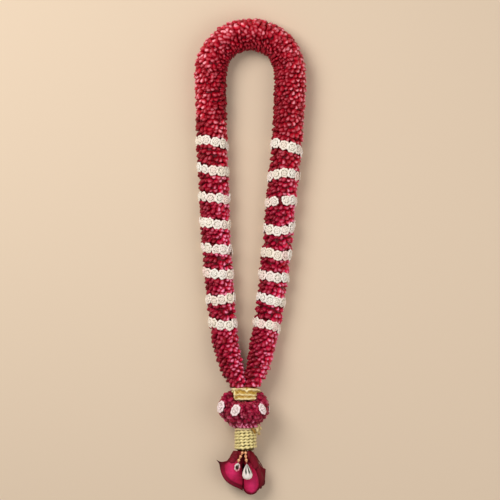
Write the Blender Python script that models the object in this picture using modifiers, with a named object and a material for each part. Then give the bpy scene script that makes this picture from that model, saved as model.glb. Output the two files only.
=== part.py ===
"""Rose-petal wedding garland, laid flat on a table with its neck loop at +Y and its roses at -Y.

Two strands of folded rose petals come down from one neck loop, each ringed by eight bands of
white rosettes. A crumpled gold tie gathers them, and a petal ball, a wound gold collar, two bead
strings with a white drop each and two roses follow below it. One cord runs inside everything.
Dimensions are in millimetres, +Z is up, and a mesh is scaled to metres when it is made.
"""

import math
import random

import bmesh
import bpy
import numpy as np
from mathutils import Vector
from mathutils.geometry import tessellate_polygon

MM = 0.001
GAP = 0.3
CENTRE_SHIFT = (-0.7, -1.3)

# The strands: points on their middle line from the tie up to the neck loop, and their radius.
LEFT_ROUTE = [
    (-23, -260), (-30, -242), (-38, -218), (-45, -190), (-51.4, -154), (-56.6, -106), (-61, -58),
    (-65, -10), (-69, 50), (-72, 134), (-75, 194), (-76.5, 250), (-78, 310), (-79, 362),
]
RIGHT_ROUTE = [
    (2, -260), (8, -242), (16, -218), (22.6, -190), (30, -154), (39, -106), (45.4, -58),
    (50.6, -10), (57, 38), (60, 86), (64.6, 134), (70.6, 194), (75.5, 250), (79, 310), (80, 362),
]
ARCH_CENTRE = (0.5, 362)
ARCH_HALF_WIDTH = 79.5
ARCH_RISE = 83
ARCH_SQUARENESS = 2.15
RADIUS_AT_Y = [
    (-260, 16), (-250, 18.5), (-242, 21), (-218, 25), (-175, 27.3), (-106, 28.5), (-10, 30),
    (134, 31), (362, 33),
]

# The petals: folded tips in staggered rows round the strand.
PETALS_ROUND = 12
ROW_PITCH = 9.2
PETAL_RELIEF = 4.2
TIP_DROOP = 1.2
TIP_WANDER = 0.8
SINK = PETAL_RELIEF + 0.4

# The bands of rosettes: height of the middle above or below the origin, and fall to the right.
LEFT_BANDS = [
    (231.4, 0.09), (175, 0.11), (119.2, 0.07), (68.2, 0.10),
    (17.2, 0.07), (-32.6, 0.04), (-83.4, -0.01), (-133, 0.20),
]
RIGHT_BANDS = [
    (222.6, 0.16), (166.2, -0.08), (112.4, -0.05), (56.2, -0.02),
    (6.8, 0.18), (-38.2, 0.14), (-84.6, 0.23), (-134, 0.13),
]
BAND_HEIGHT = 17.6
ROSETTES_ROUND = 10
ROSETTE_PROUD = 1.4
ROSETTE_VALLEY = 3.6
ROSETTE_GROOVE = 2.0

# The cord and the hole it runs in.
CORD_RADIUS = 2.5
HOLE_RADIUS = 3.3
HOLE_SIDES = 6
BEND_STEP = 20
TAIL_X = -10
TAIL_SPREAD = 4.6
TAIL_HOLE_RADIUS = 8.6
TAIL_HOLE_SIDES = 8

# The tie, ball and collar that follow below the strands.
STRANDS_END = -260
TIE_HEIGHT = 45
LIFT_START = -140
SPLIT_X = -10.5
TIE_X = -7.6
TIE_LENGTH = 25.4
TIE_HALF_WIDTH = 29.5
TIE_HALF_DEPTH = 23
BALL_X = -12.5
BALL_HEIGHT = 45.5
BALL_END = -336
BALL_PETALS_ROUND = 17
BALL_OUTLINE = [
    (0.0, 36), (4.5, 41.5), (11, 48), (18, 51), (26, 50.5), (34, 46), (42, 38.5), (49.5, 29)
]
BALL_NECK = (36, 38)
BALL_FOOT = (26.5, 29)
SHOULDER_RISE = (0, 17, 9)
COLLAR_END = -386
COLLAR_RADIUS = 22
COLLAR_X = -9
COLLAR_HEIGHTS = (44, 35)
COLLAR_WINDINGS = 6
BALL_ROSETTE_TURNS = (-72, -18, 50, 112, -128)
BALL_ROSETTE_Y = -303
BALL_ROSETTE_RADIUS = 11.2
BALL_ROSETTE_REACH = 19
BALL_SEAT = 44.2

# The bead strings with their white drops, as (x, y, z) along each thread.
BEAD_RADIUS = 3
THREAD_RADIUS = 0.9
LEFT_THREAD = [
    (-15, -386.3, 49), (-15.3, -390.3, 50.3), (-18.8, -397.6, 52.4), (-22.4, -404.8, 53.8), (-24.2, -409.6, 54.6)
]
RIGHT_THREAD = [
    (-8.8, -386.3, 49), (-8.8, -390.3, 50.5), (-8.6, -397.2, 53), (-7.4, -404.2, 55.2), (-6.6, -411, 56.4)
]
LEFT_DROP = (-25.2, -418, 57)
RIGHT_DROP_TIP = (-6.4, -411.6, 56.7)
RIGHT_DROP_END = (-4.6, -443, 58.7)
LEFT_DROP_HEIGHT = 15
LEFT_DROP_OUTLINE = [(0.12, 5), (0.4, 8.8), (0.72, 9), (0.95, 6.2)]
RIGHT_DROP_OUTLINE = [(0.2, 4.2), (0.48, 8.6), (0.72, 10), (0.92, 7.6)]
DROP_LOBES = 6

# The roses: where the bloom starts, where its middle line ends, and its petals as
# (turn from straight up towards -X, length, widest radius, half angle, flare), in degrees and mm.
LEFT_ROSE = ((-24, -398, 32), (-36, -462, 27))
RIGHT_ROSE = ((1, -402, 31), (8, -472, 25.5))
LEFT_ROSE_PETALS = [
    (14, 64, 23.5, 50, 2), (88, 36, 23, 46, 19), (160, 58, 23.5, 50, 3), (232, 68, 21, 48, 2),
    (304, 74, 22, 46, 2), (60, 56, 18, 52, 1), (180, 60, 16, 52, 1), (300, 62, 15.5, 50, 0),
]
RIGHT_ROSE_PETALS = [
    (-8, 70, 22.5, 50, 2), (64, 74, 21.5, 46, 2), (136, 72, 21.5, 48, 2), (208, 64, 22.5, 50, 3),
    (282, 40, 21.5, 46, 10), (24, 74, 15, 44, 1), (144, 70, 15, 44, 1), (262, 70, 15, 44, 1),
]
PETAL_THICKNESS = 1.5
SEAM_X = -13
SEAM_CUT = 50
SEAM_STRETCH = (-520, -380)
SEAM_HEIGHTS = (-20, 120)
ROSE_HEEL_RADIUS = 5.5
BUD_OUTLINE = [(0, 6.5), (0.3, 9), (0.62, 8), (0.82, 4.5)]
BUD_SIDES = 6
OUTER_GRID = ((0.04, 0.3, 0.62, 1.0), (-1, -0.36, 0.36, 1))
INNER_GRID = ((0.04, 0.45, 1.0), (-1, 0, 1))
OUTER_PETALS = 5
BUD_LENGTH = 60
HEEL_SIDES = 8
HEEL_OUTLINE = ((GAP, 5.6), (3.5, 5.4), (6.5, 3.4))
LEFT_SEPALS = [(15, 1), (92, 0.94), (158, 1.04), (233, 0.5), (309, 0.53)]
RIGHT_SEPALS = [(51, 0.5), (128, 0.53), (201, 1), (266, 0.94), (338, 1.04)]
SEPAL_PATH = ((3, -4), (10, -3.2), (17.5, 5), (22.5, 13))
SEPAL_HALF_WIDTHS = (1.4, 3.2, 3.0)
TAIL_STRAP = [(0, -344, 51), (8, -340.5, 57), (15, -341, 57), (18, -349, 52)]

COLOURS = {
    "petal_red": (0.40, 0.02, 0.05, 0.55, 0.0),
    "rosette_white": (0.87, 0.72, 0.60, 0.60, 0.0),
    "gold": (0.80, 0.52, 0.20, 0.32, 0.9),
    "rose_crimson": (0.36, 0.01, 0.06, 0.50, 0.0),
    "sepal_brown": (0.12, 0.05, 0.02, 0.70, 0.0),
    "cord_thread": (0.60, 0.52, 0.38, 0.85, 0.0),
}


def smoothstep(t):
    t = min(1.0, max(0.0, t))
    return t * t * (3 - 2 * t)


def material(name):
    """The Principled material of that name, made on its first use."""
    if name in bpy.data.materials:
        return bpy.data.materials[name]
    red, green, blue, rough, metal = COLOURS[name]
    made = bpy.data.materials.new(name)
    made.use_nodes = True
    shader = made.node_tree.nodes["Principled BSDF"]
    shader.inputs["Base Color"].default_value = (red, green, blue, 1)
    shader.inputs["Roughness"].default_value = rough
    shader.inputs["Metallic"].default_value = metal
    return made


class Skin:
    """A closed surface that is gathered ring by ring, in millimetres."""

    def __init__(self):
        self.points = []
        self.faces = []

    def ring(self, points):
        first = len(self.points)
        self.points += [tuple(map(float, p)) for p in points]
        return list(range(first, len(self.points)))

    def loft(self, a, b):
        """Joins two rings with as many points each."""
        for i in range(len(a)):
            k = (i + 1) % len(a)
            self.faces += [(a[i], a[k], b[k]), (a[i], b[k], b[i])]

    def bridge(self, many, few):
        """Joins a ring to one with half as many points."""
        for i in range(len(few)):
            k = (i + 1) % len(few)
            mid, end = 2 * i + 1, (2 * i + 2) % len(many)
            self.faces += [
                (many[2 * i], many[mid], few[i]), (many[mid], few[k], few[i]), (many[mid], many[end], few[k])
            ]

    def fan(self, ring, apex):
        for i in range(len(ring)):
            self.faces.append((ring[i], ring[(i + 1) % len(ring)], apex))

    def cap(self, outer, hole=None):
        """Fills a flat ring, round a hole where one is given."""
        loops = [outer] + ([hole] if hole else [])
        order = [index for loop in loops for index in loop]
        filled = tessellate_polygon([[Vector(self.points[i]) for i in loop] for loop in loops])
        self.faces += [tuple(order[i] for i in face) for face in filled]

    def bore(self, rings, outer_first, outer_last):
        """Runs a hole through the rings and closes both ends round it."""
        made = [self.ring(points) for points in rings]
        for a, b in zip(made, made[1:]):
            self.loft(a, b)
        self.cap(outer_first, made[0])
        self.cap(outer_last, made[-1])

    def object(self, name, finish):
        mesh = bpy.data.meshes.new(name)
        shift = Vector((*CENTRE_SHIFT, 0))
        mesh.from_pydata([(Vector(p) + shift) * MM for p in self.points], [], self.faces)
        return closed_object(name, mesh, finish)


def closed_object(name, mesh, finish):
    """Links a mesh as a garland piece, its faces turned outwards."""
    work = bmesh.new()
    work.from_mesh(mesh)
    bmesh.ops.remove_doubles(work, verts=work.verts, dist=1e-6)
    bmesh.ops.recalc_face_normals(work, faces=work.faces)
    work.to_mesh(mesh)
    work.free()
    made = bpy.data.objects.new(name, mesh)
    made.data.materials.append(material(finish))
    bpy.data.collections["wedding_garland"].objects.link(made)
    return made


def petal_skin(skin, rows, columns, place):
    """Covers a tube with petal tips: valley points in staggered rows, and a tip in each diamond.

    place(row, turn, raised) gives the point that many rows along and that many columns round.
    Returns the first and last rings, valleys and tips in turn.
    """
    valleys, tips = [], []
    for row in range(rows + 1):
        turn = 0.5 * (row % 2)
        valleys.append(skin.ring([place(row, i + turn, False) for i in range(columns)]))
        tips.append(skin.ring([place(row, i + turn + 0.5, True) for i in range(columns)]))
    for row in range(rows + 1):
        for i in range(columns):
            left, right = valleys[row][i], valleys[row][(i + 1) % columns]
            between = (i + row % 2) % columns
            tip = tips[row][i]
            if row < rows:
                far = valleys[row + 1][between]
                skin.faces += [(left, far, tip), (far, right, tip)]
            if row > 0:
                near = valleys[row - 1][between]
                skin.faces += [(near, left, tip), (right, near, tip)]
    return [
        [index for pair in zip(valleys[row], tips[row]) for index in pair] for row in (0, rows)
    ]


class Strand:
    """The middle line of both strands and the neck loop, from the left end at the tie to the right."""

    def __init__(self):
        power = 2 / ARCH_SQUARENESS
        arch = []
        for turn in np.radians(np.arange(20, 161, 20)):
            across = math.copysign(abs(math.cos(turn)) ** power, math.cos(turn))
            x = ARCH_CENTRE[0] - ARCH_HALF_WIDTH * across
            arch.append((x, ARCH_CENTRE[1] + ARCH_RISE * math.sin(turn) ** power))
        knots = np.array(LEFT_ROUTE + arch + RIGHT_ROUTE[::-1], float)
        padded = np.vstack([2 * knots[0] - knots[1], knots, 2 * knots[-1] - knots[-2]])
        samples = []
        for a, b, c, d in zip(padded, padded[1:], padded[2:], padded[3:]):
            for t in np.arange(0, 1, 0.1):
                cubic = -a + 3 * b - 3 * c + d
                samples.append(0.5 * (2 * b + (c - a) * t + (2 * a - 5 * b + 4 * c - d) * t**2 + cubic * t**3))
        self.line = np.array(samples + [knots[-1]])
        steps = np.linalg.norm(np.diff(self.line, axis=0), axis=1)
        self.run = np.concatenate([[0], np.cumsum(steps)])
        self.length = self.run[-1]
        self.crown = self.run[int(np.argmax(self.line[:, 1]))]

    def station(self, y, left):
        """How far along the line it passes that height on the left or right strand."""
        on_side = self.run <= self.crown if left else self.run >= self.crown
        heights, runs = self.line[on_side, 1], self.run[on_side]
        return float(np.interp(y, heights if left else heights[::-1], runs if left else runs[::-1]))

    def radius(self, run):
        y = np.interp(run, self.run, self.line[:, 1])
        return float(np.interp(y, *zip(*RADIUS_AT_Y)))

    def centre(self, run):
        x, y = (np.interp(run, self.run, self.line[:, k]) for k in (0, 1))
        resting = self.radius(run) - SINK
        lift = smoothstep((LIFT_START - y) / (LIFT_START - STRANDS_END))
        return np.array([x, y, resting + lift * (TIE_HEIGHT - resting)])

    def frame(self, run):
        """The centre, the direction along, the direction into the loop and the direction up."""
        ahead = self.centre(min(run + 2, self.length)) - self.centre(max(run - 2, 0))
        ahead /= np.linalg.norm(ahead)
        inward = np.cross(ahead, (0, 0, 1))
        inward /= np.linalg.norm(inward)
        return self.centre(run), ahead, inward, np.cross(inward, ahead)

    def cord(self, run):
        """Where the cord lies: on the centre line, and near its twin where the strands close up."""
        centre = self.centre(run)
        side = -1 if run < self.crown else 1
        close = smoothstep((-185 - centre[1]) / 70)
        centre[0] += close * (TAIL_X + side * TAIL_SPREAD - centre[0])
        return centre


def band_slopes(strand):
    """Stations along the strand, and how steeply a ring falls to the right at each."""
    marks = [(0, 0)]
    for y, fall in reversed(LEFT_BANDS):
        run = strand.station(y, True)
        marks += [(run - BAND_HEIGHT / 2, fall), (run + BAND_HEIGHT / 2, fall)]
    marks += [(strand.station(ARCH_CENTRE[1] - 40, True), 0), (strand.station(ARCH_CENTRE[1] - 40, False), 0)]
    for y, fall in RIGHT_BANDS:
        run = strand.station(y, False)
        marks += [(run - BAND_HEIGHT / 2, fall), (run + BAND_HEIGHT / 2, fall)]
    return marks + [(strand.length, 0)]


def ring_shear(strand, slopes, run):
    """How far a ring's plane leans along the strand, for each millimetre towards the loop."""
    centre, ahead, inward, _ = strand.frame(run)
    if centre[1] > ARCH_CENTRE[1] - 40:
        return 0.0
    fall = float(np.interp(run, *zip(*slopes)))
    return -(inward[1] + fall * inward[0]) / (ahead[1] + fall * ahead[0])


def strand_point(strand, slopes, run, angle, radius):
    """A point on the strand, squeezed against its twin and flat where it lies on the table."""
    centre, ahead, inward, up = strand.frame(run)
    across = inward + ring_shear(strand, slopes, run) * ahead
    point = centre + radius * (math.cos(angle) * across + math.sin(angle) * up)
    if centre[1] < LIFT_START:
        limit = SPLIT_X + math.copysign(GAP / 2, centre[0] - SPLIT_X)
        point[0] = min(point[0], limit) if centre[0] < SPLIT_X else max(point[0], limit)
    point[2] = max(point[2], 0)
    return point


def cord_hole(strand, slopes, runs):
    """Rings of the hole for the cord at those stations."""
    rings = []
    for run in runs:
        _, ahead, inward, up = strand.frame(run)
        across = inward + ring_shear(strand, slopes, run) * ahead
        turns = [math.tau * k / HOLE_SIDES for k in range(HOLE_SIDES)]
        offset = strand.cord(run) - strand.centre(run)
        middle = strand.centre(run) + across * (offset @ inward) + up * (offset @ up)
        rings.append([middle + HOLE_RADIUS * (math.cos(t) * across + math.sin(t) * up) for t in turns])
    return rings


def bend_stations(strand, start, end):
    """Stations for the cord from start to end: close together where the line bends."""
    middle = strand.centre((start + end) / 2)
    straight = STRANDS_END + 130 < middle[1] < ARCH_CENTRE[1] - 70
    count = 1 if straight else max(1, round((end - start) / BEND_STEP))
    if middle[1] < STRANDS_END + 130:
        count = 4
    return list(np.linspace(start, end, count + 1))


def petal_section(strand, slopes, name, start, end, seed):
    """One length of folded petals round the cord."""
    rows = max(2, round((end - start) / ROW_PITCH))
    draw = random.Random(seed)
    wander = {}

    def place(row, turn, raised):
        run = start + (end - start) * row / rows
        radius = strand.radius(run) - PETAL_RELIEF
        if raised:
            key = (row, round(turn % PETALS_ROUND, 2))
            wander.setdefault(key, draw.uniform(-TIP_WANDER, TIP_WANDER))
            radius += PETAL_RELIEF + (wander[key] if 0 < row < rows else -1.2)
            if 0 < row < rows:
                run += math.copysign(TIP_DROOP, run - strand.crown)
        return strand_point(strand, slopes, run, math.tau * turn / PETALS_ROUND, radius)

    skin = Skin()
    first, last = petal_skin(skin, rows, PETALS_ROUND, place)
    skin.bore(cord_hole(strand, slopes, bend_stations(strand, start, end)), first, last)
    return skin.object(name, "petal_red")


def rosette_band(strand, slopes, name, start, end, phase):
    """A ring of white rosettes side by side, each a scalloped rim, a groove and a button."""
    skin = Skin()
    pitch = math.tau / ROSETTES_ROUND
    height = end - start
    base = strand.radius((start + end) / 2)

    def at(turn, rise, radius):
        return strand_point(strand, slopes, start + height * rise, pitch * (turn + phase), radius)

    low, high = base - ROSETTE_VALLEY, base + ROSETTE_PROUD
    around = range(ROSETTES_ROUND)
    corners = [skin.ring([at(i, rise, low) for i in around]) for rise in (0, 1)]
    edges = [skin.ring([at(i + 0.5, rise, high - 1.2) for i in around]) for rise in (0, 1)]
    for i in around:
        k = (i + 1) % ROSETTES_ROUND
        bl, br, tl, tr = corners[0][i], corners[0][k], corners[1][i], corners[1][k]
        below, above = edges[0][i], edges[1][i]
        rim = [(0.80, 0.28), (0.80, 0.72), (0.20, 0.72), (0.20, 0.28)]
        cbr, ctr, ctl, cbl = skin.ring([at(i + turn, rise, high) for turn, rise in rim])
        pit = [(0.5, 0.30), (0.67, 0.60), (0.33, 0.60)]
        g0, g1, g2 = skin.ring([at(i + turn, rise, high - ROSETTE_GROOVE) for turn, rise in pit])
        button = skin.ring([at(i + 0.5, 0.5, high - 0.3)])[0]
        skin.faces += [
            (bl, below, cbl), (below, br, cbr), (br, tr, ctr), (br, ctr, cbr),
            (tr, above, ctr), (above, tl, ctl), (tl, bl, cbl), (tl, cbl, ctl),
            (below, cbr, g0), (cbr, g1, g0), (cbr, ctr, g1), (ctr, above, g1), (above, g2, g1),
            (above, ctl, g2), (ctl, cbl, g2), (cbl, g0, g2), (cbl, below, g0),
            (g0, g1, button), (g1, g2, button), (g2, g0, button),
        ]
    outer = [[v for pair in zip(corners[end_], edges[end_]) for v in pair] for end_ in (0, 1)]
    skin.bore(cord_hole(strand, slopes, [start, end]), outer[0], outer[1])
    return skin.object(name, "rosette_white")


def strands(strand, slopes):
    """Every petal section and rosette band, from the tie round the neck loop and back.

    Returns the stations where the cord bends, which are those of its hole.
    """
    bands = []
    for side, rows in (("left", LEFT_BANDS), ("right", RIGHT_BANDS)):
        for number, (y, _) in enumerate(rows, 1):
            run = strand.station(y, side == "left")
            bands.append((run - BAND_HEIGHT / 2, run + BAND_HEIGHT / 2, side, number))
    bands.sort()
    stations = []
    cursor, half = 0.0, GAP / 2
    for start, end, side, number in bands + [(strand.length, None, "right", 9)]:
        sections = {}
        if side == "left" and number == 8:
            sections["left_lower_petals"] = (cursor, start - half)
        elif side == "left":
            sections[f"left_petals_{number}"] = (cursor + half, start - half)
        elif number == 1:
            spring = [strand.station(ARCH_CENTRE[1] - 6, left) for left in (True, False)]
            cuts = [cursor] + list(np.linspace(spring[0], spring[1], 6)) + [start]
            for k, (a, b) in enumerate(zip(cuts, cuts[1:]), 1):
                sections[f"neck_petals_{k}"] = (a + half, b - half)
        elif number == 9:
            sections["right_lower_petals"] = (cursor + half, start)
        else:
            sections[f"right_petals_{number - 1}"] = (cursor + half, start - half)
        for name, (a, b) in sections.items():
            petal_section(strand, slopes, name, a, b, name)
            stations += bend_stations(strand, a, b)
        if end is not None:
            name = f"{side}_rosettes_{number}"
            rosette_band(strand, slopes, name, start + half, end - half, 0.37 * number)
            cursor = end
    return stations


def cord(strand, stations):
    """The cord, from inside the collar up the left strand, round the loop and back down."""
    tail_y = [COLLAR_END + 2, BALL_END, STRANDS_END - TIE_LENGTH - 2 * GAP]
    tail_z = [COLLAR_HEIGHTS[1], COLLAR_HEIGHTS[0], TIE_HEIGHT]
    left = [(TAIL_X - TAIL_SPREAD, y, z) for y, z in zip(tail_y, tail_z)]
    right = [(TAIL_X + TAIL_SPREAD, y, z) for y, z in zip(tail_y, tail_z)]
    kept = [stations[0]]
    for run in stations[1:]:
        if run - kept[-1] > 2 * GAP:
            kept.append(run)
    route = left + [tuple(strand.cord(run)) for run in kept] + right[::-1]
    curve = bpy.data.curves.new("garland_cord", "CURVE")
    curve.dimensions = "3D"
    curve.bevel_depth = CORD_RADIUS * MM
    curve.bevel_resolution = 1
    curve.use_fill_caps = True
    spline = curve.splines.new("POLY")
    spline.points.add(len(route) - 1)
    shift = Vector((*CENTRE_SHIFT, 0))
    for point, place in zip(spline.points, route):
        point.co = (*((Vector(place) + shift) * MM), 1)
    made = bpy.data.objects.new("garland_cord", curve)
    made.data.materials.append(material("cord_thread"))
    bpy.data.collections["wedding_garland"].objects.link(made)


def tail_hole(stretch):
    """Rings of the wide hole for both cord ends, at each (y, height) of the stretch."""
    turns = [math.tau * (k + 0.5) / TAIL_HOLE_SIDES for k in range(TAIL_HOLE_SIDES)]
    return [
        [(TAIL_X + TAIL_HOLE_RADIUS * math.cos(t), y, z + TAIL_HOLE_RADIUS * math.sin(t)) for t in turns]
        for y, z in stretch
    ]


def gold_tie():
    """A crumpled ribbon round the strands: a rolled rim at both edges and a creased middle."""
    top = STRANDS_END - GAP
    profile = [
        (0, 0.92), (2.5, 1.0), (6, 0.98), (9, 0.92), (13, 0.90), (17, 0.93), (20, 0.98), (23.4, 0.99), (25.4, 0.91)
    ]
    skin = Skin()
    rings = []
    count = 16
    for depth, swell in profile:
        ring = []
        for k in range(count):
            turn = math.tau * k / count
            crease = 0.028 * math.sin(3 * turn + 0.35 * depth) + 0.02 * math.sin(7 * turn - 0.2 * depth)
            grow = swell + (crease if 0 < depth < TIE_LENGTH else 0)
            wave = 1.1 * math.sin(2 * turn + 1) * (1 if 0 < depth < TIE_LENGTH else 0)
            x = TIE_X + TIE_HALF_WIDTH * grow * math.cos(turn)
            ring.append((x, top - depth + wave * 0.5, TIE_HEIGHT + TIE_HALF_DEPTH * grow * math.sin(turn)))
        rings.append(skin.ring(ring))
    for a, b in zip(rings, rings[1:]):
        skin.loft(a, b)
    skin.bore(tail_hole([(top, TIE_HEIGHT), (top - TIE_LENGTH, TIE_HEIGHT)]), rings[0], rings[-1])
    skin.object("gold_tie", "gold")


def petal_ball():
    """The ball of petals: shoulders that rise beside the tie, flat seats for the rosettes."""
    rows = len(BALL_OUTLINE) - 1
    top = STRANDS_END - TIE_LENGTH - 2 * GAP
    seats = [Vector((math.sin(math.radians(t)), 0, math.cos(math.radians(t)))) for t in BALL_ROSETTE_TURNS]
    middle = Vector((BALL_X, BALL_ROSETTE_Y, BALL_HEIGHT))

    def place(row, turn, raised):
        down, radius = BALL_OUTLINE[row]
        angle = math.tau * turn / BALL_PETALS_ROUND
        radius -= 0 if raised else PETAL_RELIEF
        y = top - down
        if row == 0:
            radius = BALL_NECK[raised]
        elif row == rows:
            radius = BALL_FOOT[raised]
            y = BALL_END + GAP
        if row < len(SHOULDER_RISE):
            y += SHOULDER_RISE[row] * math.cos(angle) ** 4
        point = Vector((BALL_X + radius * math.cos(angle), y, BALL_HEIGHT + radius * math.sin(angle)))
        for seat in seats:
            out = (point - middle).dot(seat)
            aside = (point - middle - out * seat).length
            if out > BALL_SEAT and aside < BALL_ROSETTE_REACH:
                point -= (out - BALL_SEAT) * seat
        point.z = max(point.z, 0)
        return point

    skin = Skin()
    first, last = petal_skin(skin, rows, BALL_PETALS_ROUND, place)
    skin.bore(tail_hole([(top, TIE_HEIGHT), (BALL_END + GAP, COLLAR_HEIGHTS[0])]), first, last)
    skin.object("petal_ball", "petal_red")
    for number, seat in enumerate(seats, 1):
        ball_rosette(f"ball_rosette_{number}", middle + seat * (BALL_SEAT + GAP), seat)


def ball_rosette(name, foot, out):
    """A white rosette on its own: a flat foot, a scalloped rim, a groove and a button."""
    along = Vector((0, 1, 0))
    side = along.cross(out)
    profile = [(0, 9.4, 0), (2.8, BALL_ROSETTE_RADIUS, 1.1), (6.2, 8.2, 0.6)]
    skin = Skin()

    def at(rise, radius, turn):
        return foot + out * rise + (side * math.cos(turn) + along * math.sin(turn)) * radius

    rings = []
    for rise, radius, scallop in profile:
        turns = [math.tau * k / 8 for k in range(8)]
        rings.append(skin.ring([at(rise, radius - scallop * (k % 2), t) for k, t in enumerate(turns)]))
    skin.cap(rings[0])
    for a, b in zip(rings, rings[1:]):
        skin.loft(a, b)
    groove = skin.ring([at(3.8, 5.0, math.tau * (k + 0.25) / 4) for k in range(4)])
    skin.bridge(rings[-1], groove)
    skin.fan(groove, skin.ring([foot + out * 6.8])[0])
    skin.object(name, "rosette_white")


def gold_collar():
    """Gold trim wound in six close turns round the cord ends, with the ribbon's loose end."""
    skin = Skin()
    start, end = BALL_END, COLLAR_END
    steps = 2 * COLLAR_WINDINGS
    rings = []
    count = 12
    for k in range(steps + 1):
        share = k / steps
        y = start + (end - start) * share
        z = COLLAR_HEIGHTS[0] + (COLLAR_HEIGHTS[1] - COLLAR_HEIGHTS[0]) * share
        radius = COLLAR_RADIUS - (0 if k % 2 else 2.4)
        ring = []
        for i in range(count):
            turn = math.tau * i / count
            braid = 0.7 * math.sin(6 * turn + k) if 0 < k < steps else 0
            slant = 1.2 * math.cos(turn - 0.6) if 0 < k < steps else 0
            reach = radius + braid
            ring.append((COLLAR_X + reach * math.cos(turn), y + slant, z + reach * math.sin(turn)))
        rings.append(skin.ring(ring))
    for a, b in zip(rings, rings[1:]):
        skin.loft(a, b)
    skin.bore(tail_hole([(start, COLLAR_HEIGHTS[0]), (end, COLLAR_HEIGHTS[1])]), rings[0], rings[-1])
    fuse(skin.object("gold_collar", "gold"), [ribbon_end()])


def fuse(body, pieces):
    """Joins the pieces to the body in one solid."""
    group = bpy.data.collections.new("joined")
    bpy.context.scene.collection.children.link(group)
    for piece in pieces:
        for home in list(piece.users_collection):
            home.objects.unlink(piece)
        group.objects.link(piece)
    join = body.modifiers.new("join", "BOOLEAN")
    join.operation = "UNION"
    join.operand_type = "COLLECTION"
    join.collection = group
    join.solver = "EXACT"
    seen = body.evaluated_get(bpy.context.evaluated_depsgraph_get())
    joined = bpy.data.meshes.new_from_object(seen)
    body.modifiers.clear()
    body.data = joined
    for piece in pieces:
        bpy.data.objects.remove(piece)
    bpy.data.collections.remove(group)
    return body


def blade(name, points, finish, thickness):
    """A thin closed piece from a grid of points, split alike on both faces."""
    rows, columns = len(points), len(points[0])
    skin = Skin()
    made = [skin.ring(row) for row in points]
    for j in range(rows - 1):
        for i in range(columns - 1):
            a, b, c, d = made[j][i], made[j][i + 1], made[j + 1][i + 1], made[j + 1][i]
            skin.faces += [(a, b, c), (a, c, d)]
    sheet = skin.object(name, finish)
    wall = sheet.modifiers.new("wall", "SOLIDIFY")
    wall.thickness = thickness * MM
    wall.offset = 0
    seen = sheet.evaluated_get(bpy.context.evaluated_depsgraph_get())
    solid = bpy.data.meshes.new_from_object(seen)
    sheet.modifiers.clear()
    sheet.data = solid
    return sheet


def bead_string(name, knots):
    """A thread with three beads on it, turned round a bent middle line."""
    knots = [Vector(k) for k in knots]
    stations = [(knots[0], THREAD_RADIUS)]
    for before, here, after in zip(knots, knots[1:-1], knots[2:]):
        along = (after - before).normalized()
        for share, swell in ((-1, 0.35), (-0.5, 0.95), (0.5, 0.95), (1, 0.35)):
            stations.append((here + along * share * BEAD_RADIUS * 0.9, swell * BEAD_RADIUS))
    stations.append((knots[-1], THREAD_RADIUS))
    skin = Skin()
    rings = []
    for k, (middle, radius) in enumerate(stations):
        ahead = stations[min(k + 1, len(stations) - 1)][0] - stations[max(k - 1, 0)][0]
        if k == 0:
            ahead = Vector((0, -1, 0))
        side = ahead.cross((0, 0, 1)).normalized()
        up = side.cross(ahead).normalized()
        turns = [math.tau * i / 6 for i in range(6)]
        rings.append(skin.ring([middle + radius * (math.cos(t) * side + math.sin(t) * up) for t in turns]))
    for a, b in zip(rings, rings[1:]):
        skin.loft(a, b)
    skin.cap(rings[0])
    skin.cap(rings[-1])
    skin.object(name, "gold")


def drop_flower(name, start, end, outline, dimple):
    """A white bud turned about the line from start to end, with lobes round it.

    The dimple is how far along the line its last face sinks back: 1 for none.
    """
    start, end = Vector(start), Vector(end)
    along = (end - start).normalized()
    side = along.cross((0, 0.3, 1)).normalized()
    up = side.cross(along).normalized()
    length = (end - start).length
    skin = Skin()
    rings = []
    for share, radius in outline:
        ring = []
        for k in range(2 * DROP_LOBES):
            turn = math.pi * k / DROP_LOBES
            reach = radius * (1 if k % 2 else 0.86)
            ring.append(start + along * share * length + reach * (math.cos(turn) * side + math.sin(turn) * up))
        rings.append(skin.ring(ring))
    for a, b in zip(rings, rings[1:]):
        skin.loft(a, b)
    skin.fan(rings[0], skin.ring([start])[0])
    skin.fan(rings[-1], skin.ring([start + along * length * dimple])[0])
    skin.object(name, "rosette_white")


def rose_frame(rose):
    """The start of a rose, its direction, the direction up and the direction towards -X."""
    start, end = (Vector(p) for p in rose)
    along = (end - start).normalized()
    side = along.cross((0, 0, 1)).normalized()
    return start, along, side.cross(along).normalized(), side


def trim(body, start, end):
    """Cuts away the part of a rose between two values of x, where its neighbour lies."""
    mesh = bpy.data.meshes.new("seam_cutter")
    corners = [(x, y, z) for z in SEAM_HEIGHTS for y in SEAM_STRETCH for x in sorted((start, end))]
    faces = [(0, 2, 3, 1), (4, 5, 7, 6), (0, 1, 5, 4), (1, 3, 7, 5), (3, 2, 6, 7), (2, 0, 4, 6)]
    mesh.from_pydata([Vector(corner) * MM for corner in corners], [], faces)
    cutter = bpy.data.objects.new("seam_cutter", mesh)
    bpy.data.collections["cutters"].objects.link(cutter)
    cut = body.modifiers.new("cut", "BOOLEAN")
    cut.operation = "DIFFERENCE"
    cut.object = cutter
    cut.solver = "EXACT"
    seen = body.evaluated_get(bpy.context.evaluated_depsgraph_get())
    left_over = bpy.data.meshes.new_from_object(seen)
    body.modifiers.clear()
    body.data = left_over
    bpy.data.objects.remove(cutter)


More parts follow.
